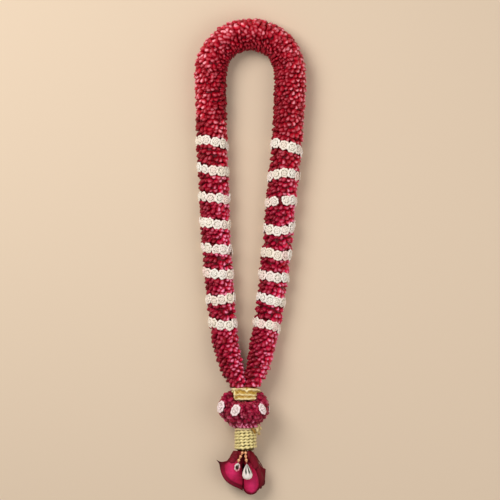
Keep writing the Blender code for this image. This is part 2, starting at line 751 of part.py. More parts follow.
def rose(name, line, petals, side_cut):
    """A half-open rose: a twisted bud, and petals in two layers that lap over each other."""
    start, along, up, side = rose_frame(line)
    bud = Skin()
    rings = []
    for share, radius in BUD_OUTLINE:
        turns = [math.tau * k / BUD_SIDES + share for k in range(BUD_SIDES)]
        rings.append(bud.ring([
            start + along * share * BUD_LENGTH + radius * (math.cos(t) * up + math.sin(t) * side) for t in turns
        ]))
    for a, b in zip(rings, rings[1:]):
        bud.loft(a, b)
    bud.cap(rings[0])
    bud.fan(rings[-1], bud.ring([start + along * BUD_LENGTH * 0.86])[0])
    body = bud.object(name, "rose_crimson")
    pieces = []
    for number, (turn, length, width, spread, flare) in enumerate(petals):
        grid = []
        shares, sides = OUTER_GRID if number < OUTER_PETALS else INNER_GRID
        for v in shares:
            row = []
            open_out = max(0, (v - 0.45) / 0.55) ** 2
            for u in sides:
                reach = ROSE_HEEL_RADIUS + (width - ROSE_HEEL_RADIUS) * math.sin(math.pi / 2 * min(1, v / 0.6))
                reach += flare * open_out + 1.5 * u * v ** 0.5 - (2.5 * open_out if flare < 1.5 else 0)
                point = start + along * (1 + (length - 1) * v * (1 - 0.2 * u * u * v) - 0.8 * flare * open_out)
                angle = math.radians(turn + spread * u * (0.85 + 0.15 * math.sin(math.pi * v)))
                row.append(point + reach * (math.cos(angle) * up + math.sin(angle) * side))
            grid.append(row)
        pieces.append(blade("petal", grid, "rose_crimson", PETAL_THICKNESS))
    trim(fuse(body, pieces), SEAM_X - math.copysign(GAP / 2, side_cut), SEAM_X + side_cut)


def calyx(name, line, sepals):
    """The heel and stem of a rose, up to the collar, with five sepals that clasp the petals."""
    start, along, up, side = rose_frame(line)
    heel = Skin()
    turns = [math.tau * (k + 0.3) / HEEL_SIDES for k in range(HEEL_SIDES)]
    rings = []
    for back, radius in HEEL_OUTLINE:
        rings.append(heel.ring(
            [start - along * back + radius * (math.cos(t) * up + math.sin(t) * side) for t in turns]
        ))
    stem = HEEL_OUTLINE[-1][1]
    foot = start - along * (COLLAR_END - GAP - start.y) / -along.y
    rings.append(heel.ring(
        [(foot.x - stem * math.sin(t), COLLAR_END - GAP, foot.z + stem * math.cos(t)) for t in turns]
    ))
    for a, b in zip(rings, rings[1:]):
        heel.loft(a, b)
    heel.cap(rings[0])
    heel.cap(rings[-1])
    body = heel.object(name, "sepal_brown")
    pieces = []
    for turn, size in sepals:
        away = math.cos(math.radians(turn)) * up + math.sin(math.radians(turn)) * side
        across = away.cross(along)
        spike = Skin()
        rings = []
        for (out, ahead), width in zip(SEPAL_PATH, SEPAL_HALF_WIDTHS):
            middle = start + along * (ahead if ahead < 0 else ahead * size) + away * (3 + (out - 3) * size)
            rings.append(spike.ring([
                middle - across * width - away, middle + across * width - away, middle + away * 0.8 - along
            ]))
        for a, b in zip(rings, rings[1:]):
            spike.loft(a, b)
        spike.cap(rings[0])
        out, ahead = SEPAL_PATH[-1]
        spike.fan(rings[-1], spike.ring([start + along * ahead * size + away * (3 + (out - 3) * size)])[0])
        pieces.append(spike.object("sepal", "sepal_brown"))
    fuse(body, pieces)


def ribbon_end():
    """The loose end of the collar's ribbon, folded over its upper right side."""
    knots = [Vector(k) for k in TAIL_STRAP]
    grid = []
    for k, middle in enumerate(knots):
        ahead = (knots[min(k + 1, len(knots) - 1)] - knots[max(k - 1, 0)]).normalized()
        across = ahead.cross((0.5, 0, 1)).normalized()
        grid.append([middle + across * w for w in (-3.5, 0, 3.5)])
    return blade("ribbon_end", grid, "gold", 1.6)


def build():
    for old in list(bpy.data.objects):
        bpy.data.objects.remove(old)
    for name in ("wedding_garland", "cutters"):
        if name not in bpy.data.collections:
            bpy.context.scene.collection.children.link(bpy.data.collections.new(name))
    strand = Strand()
    slopes = band_slopes(strand)
    stations = strands(strand, slopes)
    cord(strand, stations)
    gold_tie()
    petal_ball()
    gold_collar()
    bead_string("bead_string_left", LEFT_THREAD)
    bead_string("bead_string_right", RIGHT_THREAD)
    left, half = Vector(LEFT_DROP), Vector((0, 0, LEFT_DROP_HEIGHT / 2))
    drop_flower("drop_flower_left", left - half, left + half, LEFT_DROP_OUTLINE, 0.7)
    drop_flower("drop_flower_right", RIGHT_DROP_TIP, RIGHT_DROP_END, RIGHT_DROP_OUTLINE, 1.0)
    rose("rose_left", LEFT_ROSE, LEFT_ROSE_PETALS, SEAM_CUT)
    rose("rose_right", RIGHT_ROSE, RIGHT_ROSE_PETALS, -SEAM_CUT)
    calyx("calyx_left", LEFT_ROSE, LEFT_SEPALS)
    calyx("calyx_right", RIGHT_ROSE, RIGHT_SEPALS)


build()
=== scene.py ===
import math

import bpy
import numpy as np
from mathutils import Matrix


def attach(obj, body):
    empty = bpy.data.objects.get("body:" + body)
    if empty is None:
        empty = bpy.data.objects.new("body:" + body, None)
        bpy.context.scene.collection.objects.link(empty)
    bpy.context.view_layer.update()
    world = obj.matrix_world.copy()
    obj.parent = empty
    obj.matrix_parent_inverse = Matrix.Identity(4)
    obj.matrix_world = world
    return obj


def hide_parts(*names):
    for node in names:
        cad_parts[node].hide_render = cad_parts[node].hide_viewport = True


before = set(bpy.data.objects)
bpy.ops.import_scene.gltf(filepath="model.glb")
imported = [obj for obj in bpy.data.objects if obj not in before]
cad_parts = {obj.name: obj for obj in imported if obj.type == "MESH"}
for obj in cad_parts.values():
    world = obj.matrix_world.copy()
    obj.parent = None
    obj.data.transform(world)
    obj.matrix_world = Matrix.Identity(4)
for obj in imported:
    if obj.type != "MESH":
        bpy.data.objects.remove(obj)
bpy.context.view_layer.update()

# Wedding garland of folded rose petals, laid flat: neck loop at +Y, roses at -Y, +Z up.
# Sizes are in millimetres until a mesh is made, and every surface is a grid worked out at once.

mm = 0.001
shift = np.array([-0.7, -1.3, 0.0])   # puts the middle of the whole garland over the origin
lowest = 0.02   # no point lies lower over the table


# Small tools for arrays

def paint(*levels):
    # screen colour levels (0 to 255) as linear light: ((c + 0.055) / 1.055) to the power 2.4
    return ((np.array(levels) / 255 + 0.055) / 1.055) ** 2.4


def unit(vectors):
    # each vector over its own length
    return vectors / np.linalg.norm(vectors, axis=-1, keepdims=True)


def ease(t):
    # 0 before 0, 1 after 1, and 3 t squared less 2 t cubed between
    t = np.clip(t, 0, 1)
    return t * t * (3 - 2 * t)


def bell(x):
    # e to the power of x squared taken negative
    return np.exp(-x * x)


def turnsOf(count):
    # that many even turns round a circle
    return np.arange(count) * math.tau / count


def circle(turn, first, second):
    # first * cos turn + second * sin turn
    return np.cos(turn)[..., None] * first + np.sin(turn)[..., None] * second


def squareTo(out, way):
    # what is left of the way at right angles to out
    return unit(way - out * np.sum(way * out, axis=-1, keepdims=True))


def between(first, second, share):
    # weighted mean: all of the first at 0, all of the second at 1
    return first * (1 - share) + second * share


def blendColours(first, second, share):
    # first, and the share of the way from there to second
    return first + (second - first) * np.asarray(share)[..., None]


def runAlong(points):
    # length along a path at each of its points
    return np.concatenate([[0], np.cumsum(np.linalg.norm(np.diff(points, axis=0), axis=1))])


def smoothPath(knots, steps):
    # Catmull-Rom curve through the knots, with that many samples from each to the next
    knots = np.array(knots, float)
    padded = np.vstack([2 * knots[0] - knots[1], knots, 2 * knots[-1] - knots[-2]])
    a, b, c, d = (padded[k:len(padded) - 3 + k][:, None] for k in range(4))
    t = (np.arange(steps) / steps)[None, :, None]
    cubic = 3 * b - a - 3 * c + d
    curve = 0.5 * (2 * b + (c - a) * t + (2 * a - 5 * b + 4 * c - d) * t**2 + cubic * t**3)
    return np.vstack([curve.reshape(-1, knots.shape[1]), knots[-1:]])


# Closed shells: rings of points between two end points, many copies at once

def newPiece():
    # lists that fill with a piece's points and faces, and the number of points so far
    return {"points": [], "quads": [], "triangles": [], "colours": [], "places": [], "count": 0}


def shellFaces(rows, columns):
    # quads between neighbouring rings, and a fan of triangles to each end point
    ring = 1 + np.arange(rows * columns).reshape(rows, columns)
    after = np.roll(ring, -1, axis=1)
    quads = np.stack([ring[:-1], after[:-1], after[1:], ring[1:]], axis=-1).reshape(-1, 4)
    first = np.stack([np.zeros(columns, int), after[0], ring[0]], axis=-1)
    last = np.stack([np.full(columns, 1 + rows * columns), ring[-1], after[-1]], axis=-1)
    return quads, np.vstack([first, last])


def addPoints(piece, points, colours, places):
    # one row for each point, and the count grows by their number
    for key, rows in (("points", points), ("colours", colours), ("places", places)):
        piece[key].append(rows.reshape(-1, 3))
    piece["count"] += len(piece["points"][-1])


def addShells(piece, rings, first, last, colours):
    # rings is copies x rows x columns x 3, first and last are copies x 3, and colours fit the rings
    copies, rows, columns = rings.shape[:3]
    points = np.concatenate([first[:, None], rings.reshape(copies, -1, 3), last[:, None]], axis=1)
    quads, triangles = shellFaces(rows, columns)
    corners = np.vstack([quads[:, [0, 1, 2]], quads[:, [0, 2, 3]], triangles])
    local = points - points.mean(axis=1, keepdims=True)
    a, b, c = (local[:, corners[:, k]] for k in range(3))
    inside = np.einsum("nti,nti->n", a, np.cross(b, c)) < 0   # negative volume: turn the faces
    base = piece["count"] + (rows * columns + 2) * np.arange(copies)
    for key, faces in (("quads", quads), ("triangles", triangles)):
        turned = np.where(inside[:, None, None], faces[None, :, ::-1], faces[None])
        piece[key].append((turned + base[:, None, None]).reshape(-1, faces.shape[1]))
    colours = np.broadcast_to(colours, rings.shape)
    ends = [colours[:, k].mean(axis=1)[:, None] for k in (0, -1)]   # an end point takes its ring's mean
    colours = np.concatenate([ends[0], colours.reshape(copies, -1, 3), ends[1]], axis=1)
    addPoints(piece, points, colours, np.zeros(points.shape))


def tubeAlong(path, radii, columns, flat=1.0):
    # circles of the given radii across the path; flat presses them in height
    ahead = unit(np.gradient(path, axis=0))
    side = unit(np.cross(ahead, [0.02, 0.1, 1]))
    up = np.cross(side, ahead)
    radii = np.broadcast_to(radii, len(path))[:, None, None]
    return path[:, None] + radii * circle(turnsOf(columns), side[:, None], flat * up[:, None])


def addTube(piece, path, radii, columns, colour, flat=1.0):
    # a closed tube from one end of the path to the other
    addShells(piece, tubeAlong(path, radii, columns, flat)[None], path[:1], path[-1:], colour)


def newObject(name, data):
    # an object in the scene's own collection
    made = bpy.data.objects.new(name, data)
    bpy.context.scene.collection.objects.link(made)
    return made


def finishPiece(name, piece, finish, node):
    # metres = (millimetres + shift) / 1000; the faces' corners are listed quads first
    points, quads, triangles = (np.vstack(piece[key]) for key in ("points", "quads", "triangles"))
    corners = np.concatenate([quads.ravel(), triangles.ravel()])
    starts = np.concatenate([4 * np.arange(len(quads)), 4 * len(quads) + 3 * np.arange(len(triangles))])
    mesh = bpy.data.meshes.new(name)
    mesh.vertices.add(len(points))
    mesh.vertices.foreach_set("co", ((points + shift) * mm).astype(np.float32).ravel())
    mesh.loops.add(len(corners))
    mesh.loops.foreach_set("vertex_index", corners.astype(np.int32))
    mesh.polygons.add(len(starts))
    mesh.polygons.foreach_set("loop_start", starts.astype(np.int32))
    mesh.update(calc_edges=True)
    mesh.polygons.foreach_set("use_smooth", np.ones(len(starts), bool))
    for attribute, key in (("petalColour", "colours"), ("petalPlace", "places")):
        layer = mesh.color_attributes.new(attribute, "FLOAT_COLOR", "POINT")
        rows = np.column_stack([np.vstack(piece[key]), np.ones(len(points))])
        layer.data.foreach_set("color", rows.astype(np.float32).ravel())
    mesh.materials.append(finish)
    made = newObject(name, mesh)
    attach(made, "root")
    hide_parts(node)


# Finishes: the attribute gives the colour, noise mottles it, and a fine bump breaks the gloss

def setInputs(tree, node, inputs):
    # a plain value is set, and another node's output is linked
    for key, value in inputs.items():
        if isinstance(value, bpy.types.NodeSocket):
            tree.links.new(value, node.inputs[key])
        else:
            node.inputs[key].default_value = value


def addNode(tree, kind, output, inputs, **fields):
    # a new node's output, once its fields and inputs are set
    node = tree.nodes.new("ShaderNode" + kind)
    for key, value in fields.items():
        setattr(node, key, value)
    setInputs(tree, node, inputs)
    return node.outputs[output]


def newMaterial(name):
    # a material, its node tree and its shader
    made = bpy.data.materials.new(name)
    made.use_nodes = True
    return made, made.node_tree, made.node_tree.nodes["Principled BSDF"]


finishing = {
    "mottleRange": (0.3, 0.7),   # the part of the noise's range that is used
    "roughSpread": 0.08, "bumpDepth": 0.4, "coatRoughness": 0.3,
    "veinScale": 10.0, "veinDistortion": 9.0,
}


def makeFinish(name, roughness, mottle, mottleSize, bump, bumpSize, metallic=0.0, specular=0.5, veins=0.0,
               coat=0.0, gloss=(1.0, 1.0, 1.0)):
    # colour = attribute * mottling and height = fine noise + veins * bands, where mottling and roughness
    # follow the same noise
    made, tree, shader = newMaterial(name)
    coords = addNode(tree, "TexCoord", "Object", {})
    colour = addNode(tree, "Attribute", "Color", {}, attribute_name="petalColour")
    spots, height = (
        addNode(tree, "TexNoise", "Fac", {"Vector": coords, "Scale": 1 / (size * mm), "Detail": detail})
        for size, detail in ((mottleSize, 3.0), (bumpSize, 2.0)))
    low, high = finishing["mottleRange"]
    spread = finishing["roughSpread"]
    mottling, rough = (
        addNode(tree, "MapRange", "Result",
                {"Value": spots, "From Min": low, "From Max": high, "To Min": least, "To Max": most})
        for least, most in ((1 - mottle, 1 + mottle),
                            (max(0.05, roughness - spread), min(1.0, roughness + spread))))
    tint = addNode(tree, "VectorMath", "Vector", {0: colour, "Scale": mottling}, operation="SCALE")
    if veins:
        place = addNode(tree, "Attribute", "Vector", {}, attribute_name="petalPlace")
        lines = addNode(tree, "TexWave", "Fac",
                        {"Vector": place, "Scale": finishing["veinScale"],
                         "Distortion": finishing["veinDistortion"], "Detail": 2.0},
                        wave_type="BANDS", bands_direction="X")
        height = addNode(tree, "Math", "Value", {0: lines, 1: veins, 2: height}, operation="MULTIPLY_ADD")
    raised = addNode(tree, "Bump", "Normal",
                     {"Strength": bump, "Distance": finishing["bumpDepth"] * mm, "Height": height})
    setInputs(tree, shader, {
        "Base Color": tint, "Roughness": rough, "Normal": raised, "Metallic": metallic,
        "Specular IOR Level": specular, "Specular Tint": (*gloss, 1),
        "Coat Weight": coat, "Coat Roughness": finishing["coatRoughness"]})
    return made


redGloss = (1.0, 0.42, 0.48)
goldGloss = (1.0, 0.86, 0.6)
petalFinish = makeFinish("rosePetal", 0.38, 0.18, 4.0, 0.8, 2.0, specular=0.5, gloss=redGloss)
rosetteFinish = makeFinish("creamPetal", 0.6, 0.05, 3.0, 0.4, 1.2, specular=0.35)
goldFinish = makeFinish("goldTrim", 0.4, 0.12, 4.0, 0.6, 1.0, metallic=0.12, gloss=goldGloss)
roseFinish = makeFinish("velvetRose", 0.5, 0.12, 7.0, 0.35, 1.4, specular=0.35, veins=0.3, gloss=redGloss)
sepalFinish = makeFinish("drySepal", 0.7, 0.25, 3.0, 0.7, 1.0, specular=0.25, gloss=redGloss)
beadFinish = makeFinish("copperBead", 0.28, 0.06, 2.0, 0.2, 0.8, metallic=0.3, specular=0.6, coat=0.3)
print("finishes ready")


# The strands: one middle line from the tie up the left side, round the neck and back down

strand = {
    "left": [(-23, -260), (-30, -242), (-38, -218), (-45, -190), (-51.4, -154), (-56.6, -106), (-61, -58),
             (-65, -10), (-69, 50), (-72, 134), (-75, 194), (-76.5, 250), (-78, 310), (-79, 362)],
    "right": [(2, -260), (8, -242), (16, -218), (22.6, -190), (30, -154), (39, -106), (45.4, -58),
              (50.6, -10), (57, 38), (60, 86), (64.6, 134), (70.6, 194), (75.5, 250), (79, 310), (80, 362)],
    "neckCentre": (0.5, 362), "neckHalfWidth": 79.5, "neckRise": 83, "neckSquareness": 2.15,
    "radiusAtY": [(-260, 16), (-250, 18.5), (-242, 21), (-218, 25), (-175, 27.3), (-106, 28.5), (-10, 30),
                  (134, 31), (362, 33)],
    "leftBands": [(231.4, 0.09), (175, 0.11), (119.2, 0.07), (68.2, 0.10),
                  (17.2, 0.07), (-32.6, 0.04), (-83.4, -0.01), (-133, 0.20)],
    "rightBands": [(222.6, 0.16), (166.2, -0.08), (112.4, -0.05), (56.2, -0.02),
                   (6.8, 0.18), (-38.2, 0.14), (-84.6, 0.23), (-134, 0.13)],
    "bandHeight": 17.6, "gap": 0.3, "pressed": 4.6,
    "endY": -260, "tieHeight": 45, "liftY": -140, "splitX": -10.5, "mingle": 1.6,
    "neckFoot": 322,   # the bands and their tilt end below this height
    "coreColumns": 24,
}


def makeLine():
    # the neck is a squared half ellipse: cos and sin of the turn to the power 2 / squareness
    power = 2 / strand["neckSquareness"]
    turn = np.radians(np.arange(20, 161, 20))
    across = np.sign(np.cos(turn)) * np.abs(np.cos(turn)) ** power
    x = strand["neckCentre"][0] - strand["neckHalfWidth"] * across
    y = strand["neckCentre"][1] + strand["neckRise"] * np.sin(turn) ** power
    return smoothPath(strand["left"] + list(zip(x, y)) + strand["right"][::-1], 10)


line = makeLine()
lineRun = runAlong(line)
lineLength = lineRun[-1]
crown = lineRun[np.argmax(line[:, 1])]


def stationAt(y, left):
    # length along the line at which its left or right half passes the height y
    side = lineRun <= crown if left else lineRun >= crown
    heights, runs = line[side, 1], lineRun[side]
    return float(np.interp(y, heights if left else heights[::-1], runs if left else runs[::-1]))


def radiusAt(run):
    # straight lines between the radii given for heights
    return np.interp(np.interp(run, lineRun, line[:, 1]), *zip(*strand["radiusAtY"]))


def centreAt(run):
    # it rests pressed on the table by "pressed" and is lifted to the tie's height near the end
    x, y = (np.interp(run, lineRun, line[:, k]) for k in (0, 1))
    resting = radiusAt(run) - strand["pressed"]
    lift = ease((strand["liftY"] - y) / (strand["liftY"] - strand["endY"]))
    return np.stack([x, y, resting + lift * (strand["tieHeight"] - resting)], axis=-1)


def frameAt(run):
    # centre, way ahead over 4 mm, level way inward square to it, and way up square to both
    ahead = unit(centreAt(np.minimum(run + 2, lineLength)) - centreAt(np.maximum(run - 2, 0)))
    inward = unit(np.cross(ahead, [0, 0, 1]))
    return centreAt(run), ahead, inward, np.cross(inward, ahead)


def bandRun(number, left):
    # length along the line at a band's middle
    rows = strand["leftBands"] if left else strand["rightBands"]
    return stationAt(rows[number - 1][0], left)


def slopeTable():
    # each band's slope holds across its height, and there is none round the neck and at both ends
    half = strand["bandHeight"] / 2
    marks = [(0, 0), (lineLength, 0)] + [(stationAt(strand["neckFoot"], left), 0) for left in (True, False)]
    for left, rows in ((True, strand["leftBands"]), (False, strand["rightBands"])):
        for y, fall in rows:
            run = stationAt(y, left)
            marks += [(run - half, fall), (run + half, fall)]
    return np.array(sorted(marks)).T


slopes = slopeTable()


def keepToSide(point, centre):
    # points stay over the table and, where the strands close up, on their own side of the split
    low = centre[..., 1] < strand["liftY"]
    onLeft = centre[..., 0] < strand["splitX"]
    limit = strand["splitX"] - np.sign(centre[..., 0] - strand["splitX"]) * strand["mingle"]
    held = np.where(onLeft, np.minimum(point[..., 0], limit), np.maximum(point[..., 0], limit))
    point = point.copy()
    point[..., 0] = np.where(low, held, point[..., 0])
    point[..., 2] = np.maximum(point[..., 2], lowest)
    return point


def strandPoint(run, angle, radius):
    # centre + radius * (cos angle * inward leaned along the strand + sin angle * up)
    centre, ahead, inward, up = frameAt(run)
    fall = np.interp(run, *slopes)
    lean = -(inward[..., 1] + fall * inward[..., 0]) / (ahead[..., 1] + fall * ahead[..., 0])
    lean = np.where(centre[..., 1] > strand["neckFoot"], 0.0, lean)
    across = inward + lean[..., None] * ahead
    return keepToSide(centre + radius[..., None] * circle(angle, across, up), centre)


def sectionRuns():
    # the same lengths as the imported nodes: from band to band, with the neck in seven
    half, gap = strand["bandHeight"] / 2, strand["gap"] / 2
    runs = {"left_lower_petals": (0.0, bandRun(8, True) - half - gap)}
    for k in range(7, 0, -1):
        runs[f"left_petals_{k}"] = (bandRun(k + 1, True) + half + gap, bandRun(k, True) - half - gap)
    spring = [stationAt(strand["neckCentre"][1] - 6, left) for left in (True, False)]
    cuts = [bandRun(1, True) + half, *np.linspace(*spring, 6), bandRun(1, False) - half]
    for k, (a, b) in enumerate(zip(cuts, cuts[1:]), 1):
        runs[f"neck_petals_{k}"] = (a + gap, b - gap)
    for k in range(1, 8):
        runs[f"right_petals_{k}"] = (bandRun(k, False) + half + gap, bandRun(k + 1, False) - half - gap)
    runs["right_lower_petals"] = (bandRun(8, False) + half + gap, lineLength)
    return runs


# How the flowers have slipped down the strands, in mm at each band from the neck to the tie: the whole
# band, how much its right end lies lower than its middle, and its middle lower than its ends
slips = {
    "left": [(2.4, 2.8, -6.0), (0.8, 2.2, 4.2), (1.0, 2.1, -0.4), (1.2, -0.1, 0.7),
             (0.3, 1.0, -1.1), (0.0, 1.9, 2.4), (0.3, -3.1, 3.9), (-1.0, -3.2, 3.0)],
    "right": [(3.0, 3.9, -4.3), (2.2, 0.9, -7.4), (1.0, -1.5, -4.0), (0.0, -1.5, 8.6),
              (1.4, -1.8, 3.0), (0.0, -0.9, 3.1), (0.9, 2.0, -0.9), (0.9, 3.3, -4.0)],
    "fades": 45.0,   # along the neck
}


def slipAt(runs, angles):
    # slip = drop + tilt * across + sag (max(sin angle, 0)^2 - 1/2), where across is -1 to 1 from left to
    # right, and drop, tilt and sag run evenly from band to band
    marks = [0.0] + [bandRun(k, True) for k in range(8, 0, -1)]
    marks += [bandRun(1, True) + slips["fades"], bandRun(1, False) - slips["fades"]]
    marks += [bandRun(k, False) for k in range(1, 9)] + [lineLength]
    none = [(0, 0, 0)]
    table = np.array(none + slips["left"][::-1] + none * 2 + slips["right"] + none, dtype=float)
    drop, tilt, sag = (np.interp(runs, marks, column) for column in table.T)
    side = np.where(runs < crown, 1, -1)
    slip = drop + tilt * np.cos(angles) * side + sag * (np.maximum(np.sin(angles), 0) ** 2 - 0.5)
    return -slip * side


def strandCore(piece, runs, depth, colour):
    # the core that the flowers stand on, painted dark as the shade between them: rings at the strand's radius
    # less the depth
    grid = np.meshgrid(runs, turnsOf(strand["coreColumns"]), indexing="ij")
    ends = centreAt(runs[[0, -1]])
    addShells(piece, strandPoint(*grid, radiusAt(grid[0]) - depth)[None], ends[:1], ends[1:], colour)


# One folded petal: rings from its root to its crest, plump in the middle, with a wrapped edge

fold = {
    "columns": 10,
    "heights": np.array([0.0, 0.36, 0.64, 0.86, 0.97]),
    "lengths": np.array([0.66, 1.0, 0.90, 0.64, 0.38]),
    "widths": np.array([0.72, 1.0, 0.86, 0.57, 0.32]),
    # the tip colour on each crest is the petal's paler folded edge and a painted highlight
    "blush": np.array([0.0, 0.0, 0.0, 0.12, 1.0]),   # share of the tip colour in each ring
    "lap": np.array([0.0, 0.16, 0.24, 0.22, 0.10]),   # depth of the groove beside the wrapped edge
    "lapAt": 0.5, "lapClimb": 1.5, "lapWidth": 0.42,   # the groove's turn at the root, its climb and width
    "halfLength": 6.4, "halfWidth": 4.9, "height": 12.0, "bend": 1.2, "droop": 2.2,
    # the gap colour is painted shade, deep between the petals
    "gapShadeColour": paint(112, 0, 16), "bodyColour": paint(138, 0, 18), "flankColour": paint(190, 0, 36),
    "lowFlankColour": paint(192, 0, 58), "dullTip": paint(176, 20, 50), "brightTip": paint(255, 160, 174),
    "lowTip": paint(255, 150, 188),
}


def foldedPetals(tip, out, down, size, turn, pale, body, low=1.0):
    # fold line = side * cos turn + down * sin turn
    # ring = (length * cos u along it, width * sin u + bend * cos^2 u across it), less the lap's groove
    foldLine = circle(turn, np.cross(out, down), down)
    across = np.cross(out, foldLine)
    u = turnsOf(fold["columns"])
    heights = fold["heights"][:, None]
    scale = size[:, None, None]
    away = (u - fold["lapAt"] - fold["lapClimb"] * heights + math.pi) % math.tau - math.pi
    lapped = 1 - fold["lap"][:, None] * bell(away / fold["lapWidth"])
    longer = np.cos(u) * (1 + 0.16 * np.cos(u))
    alongFold = scale * fold["halfLength"] * fold["lengths"][:, None] * longer * lapped
    acrossFold = scale * (fold["halfWidth"] * fold["widths"][:, None] * np.sin(u) * lapped
                          + fold["bend"] * heights * (np.cos(u) ** 2 - 0.4))
    rise = fold["height"] * (heights - 1 - 0.10 * heights ** 3 * np.cos(u) ** 2)
    sag = scale * fold["droop"] * heights ** 2
    rings = sum((tip[:, None, None], rise[None, ..., None] * out[:, None, None],
                 alongFold[..., None] * foldLine[:, None, None],
                 acrossFold[..., None] * across[:, None, None], sag[..., None] * down[:, None, None]))
    top = tip + down * (size * fold["droop"])[:, None] + out * 0.1
    foot = tip - out * fold["height"]
    # the fold is red down its sides and painted dark at its root as the shade between the petals, and its
    # crest takes the tip colour: the pale folded edge with a painted highlight
    brightTip = blendColours(fold["brightTip"], fold["lowTip"], np.broadcast_to(low, len(tip)))
    tipColour = blendColours(fold["dullTip"], brightTip, pale)
    shade = blendColours(fold["gapShadeColour"], body[:, None], ease(fold["heights"] * 1.35))
    shade = blendColours(shade, tipColour[:, None], fold["blush"] * (0.3 + 0.7 * pale[:, None]))
    return rings, foot, top, shade[:, :, None]


# How the folded petals stand on the strands. The neck's bent sections have more rows.

layout = {
    "pitch": 10.4, "rowPitch": 9.2, "sunk": 4.2, "coreDepth": 8.0, "coreStep": 8, "corePaintedShade": 0.6,
    "bent": [f"neck_petals_{k}" for k in range(2, 7)], "bentRows": 1.22,
    "rim": 3.4, "neckRim": 4.0, "inset": 2.6,   # from a section's ends to its first row and to any petal
    # how far petals stray: in waves and one by one along the strand, in turn, in lean and in depth
    "wave": 2.3, "stray": 1.6, "strayTurn": 0.06, "strayLean": 0.10, "strayDepth": (-1.5, 1.6),
    "sizes": (0.86, 1.16), "outerSize": 1.12, "innerSize": 0.8,   # the last two round the neck's bend
    "foldTurn": -35, "foldSpread": 34, "sunkPaintedShade": 0.66,
    # the pale side is the side with painted highlights and painted light
    "paleFrom": (275, 300),   # above these heights, left and right, the pale side is the loop's outer one
}


def petalSites(name, start, end, seed, layer):
    # rows of evenly turned petals, each row's petals between those of the row before
    rows = round((end - start) / layout["rowPitch"] * (layout["bentRows"] if name in layout["bent"] else 1.0))
    rows = max(2, rows)
    rim = layout["neckRim" if "neck" in name else "rim"]
    allRuns, allAngles = [], []
    for row in range(rows):
        run = start + rim + (end - start - 2 * rim) * row / (rows - 1)
        around = max(9, round(math.tau * (float(radiusAt(run)) - 3) / layout["pitch"]))
        half = 0.5 * ((row + layer) % 2)
        allAngles.append((np.arange(around) + half + 0.25 * (seed % 4)) * math.tau / around)
        allRuns.append(np.full(around, run))
    return np.concatenate(allRuns), np.concatenate(allAngles)


def petalColours(draw, centre, inward, out, onLeft, layer):
    # painted highlights on the tips and painted light on the bodies towards the right, and round the neck
    # towards the outside
    leftFrom, rightFrom = layout["paleFrom"]
    outer = np.where(onLeft, centre[:, 1] > leftFrom, centre[:, 1] > rightFrom)
    bright = np.where(outer[:, None], -inward, [[1.0, 0, 0]])
    facing = np.sum(out * bright, axis=1)
    chance = 0.12 + 0.88 * draw.beta(1.1, 1.1, len(out))
    low = ease((260 - centre[:, 1]) / 200)
    shaded = low * np.clip(facing, 0, 1)   # the key light reaches less of this side there
    pale = np.clip(chance * (0.72 + 0.8 * facing + 1.0 * shaded) - 0.8 * (1 - layer), 0, 1)
    flank = blendColours(fold["flankColour"], fold["lowFlankColour"], low)
    body = blendColours(fold["bodyColour"], flank, draw.uniform(0, 1, len(out)))
    # bodies facing that side are painted lighter, as painted light
    body = body * (0.94 + 0.36 * np.clip(facing, -1, 1) + draw.uniform(-0.12, 0.12, len(out)))[:, None]
    # the sunk layer is painted darker, as shade
    body = body * ((1.0 if layer else layout["sunkPaintedShade"]) * (1 + 0.3 * shaded))[:, None]
    return pale, body, low


def petalSection(name, start, end, seed):
    # place = its row and turn + wave + chance + slip, and height = the strand's radius + chance
    draw = np.random.default_rng(seed)
    piece = newPiece()
    coreRuns = np.linspace(start, end, max(3, int((end - start) / layout["coreStep"]) + 2))
    # the core takes the gap colour darker still, as painted shade
    strandCore(piece, coreRuns, layout["coreDepth"], fold["gapShadeColour"] * layout["corePaintedShade"])
    # the sunk layer fills the gaps of the upper one and is painted dark as shade
    for layer in (0, 1):   # the sunk layer is dark and fills the gaps of the upper one
        runs, angles = petalSites(name, start, end, seed, layer)
        count = len(runs)
        wave = layout["wave"] * np.sin(3 * angles + seed) * np.sin(math.pi * (runs - start) / (end - start))
        runs = runs + wave + draw.normal(0, layout["stray"], count)
        runs = np.clip(runs, start + layout["inset"], end - layout["inset"])
        angles = angles + draw.normal(0, layout["strayTurn"], count)
        runs = np.clip(runs + slipAt(runs, angles), 0, lineLength)
        centre, ahead, inward, up = frameAt(runs)
        out = unit(circle(angles, inward, up) + draw.normal(0, layout["strayLean"], (count, 3)))
        down = squareTo(out, ahead * np.sign(runs - crown)[:, None])
        sunk = layout["sunk"] * (1 - layer)
        radius = radiusAt(runs) - sunk + draw.uniform(*layout["strayDepth"], count)
        tip = strandPoint(runs, angles, radius) - down * fold["droop"] * 0.5
        pale, body, low = petalColours(draw, centre, inward, out, runs < crown, layer)
        # round the neck the folds are larger on the outside of the bend and smaller on the inside
        hub = np.array(strand["neckCentre"])
        stretch = np.linalg.norm(tip[:, :2] - hub, axis=1) / np.linalg.norm(centre[:, :2] - hub, axis=1)
        stretch = np.clip(stretch, layout["innerSize"], layout["outerSize"]) - 1
        size = draw.uniform(*layout["sizes"], count) * (1 + stretch * ease((centre[:, 1] - hub[1]) / 30))
        turn = np.radians(draw.normal(layout["foldTurn"], layout["foldSpread"], count))
        rings, foot, top, shade = foldedPetals(tip, out, down, size, turn, pale, body, low)
        addShells(piece, keepToSide(rings, centre[:, None, None]), keepToSide(foot, centre),
                  keepToSide(top, centre), shade)
    finishPiece("petals_" + name.replace("_petals", ""), piece, petalFinish, name)


for number, (name, (start, end)) in enumerate(sectionRuns().items()):
    petalSection(name, start, end, 11 + number)
print("strand petals ready")
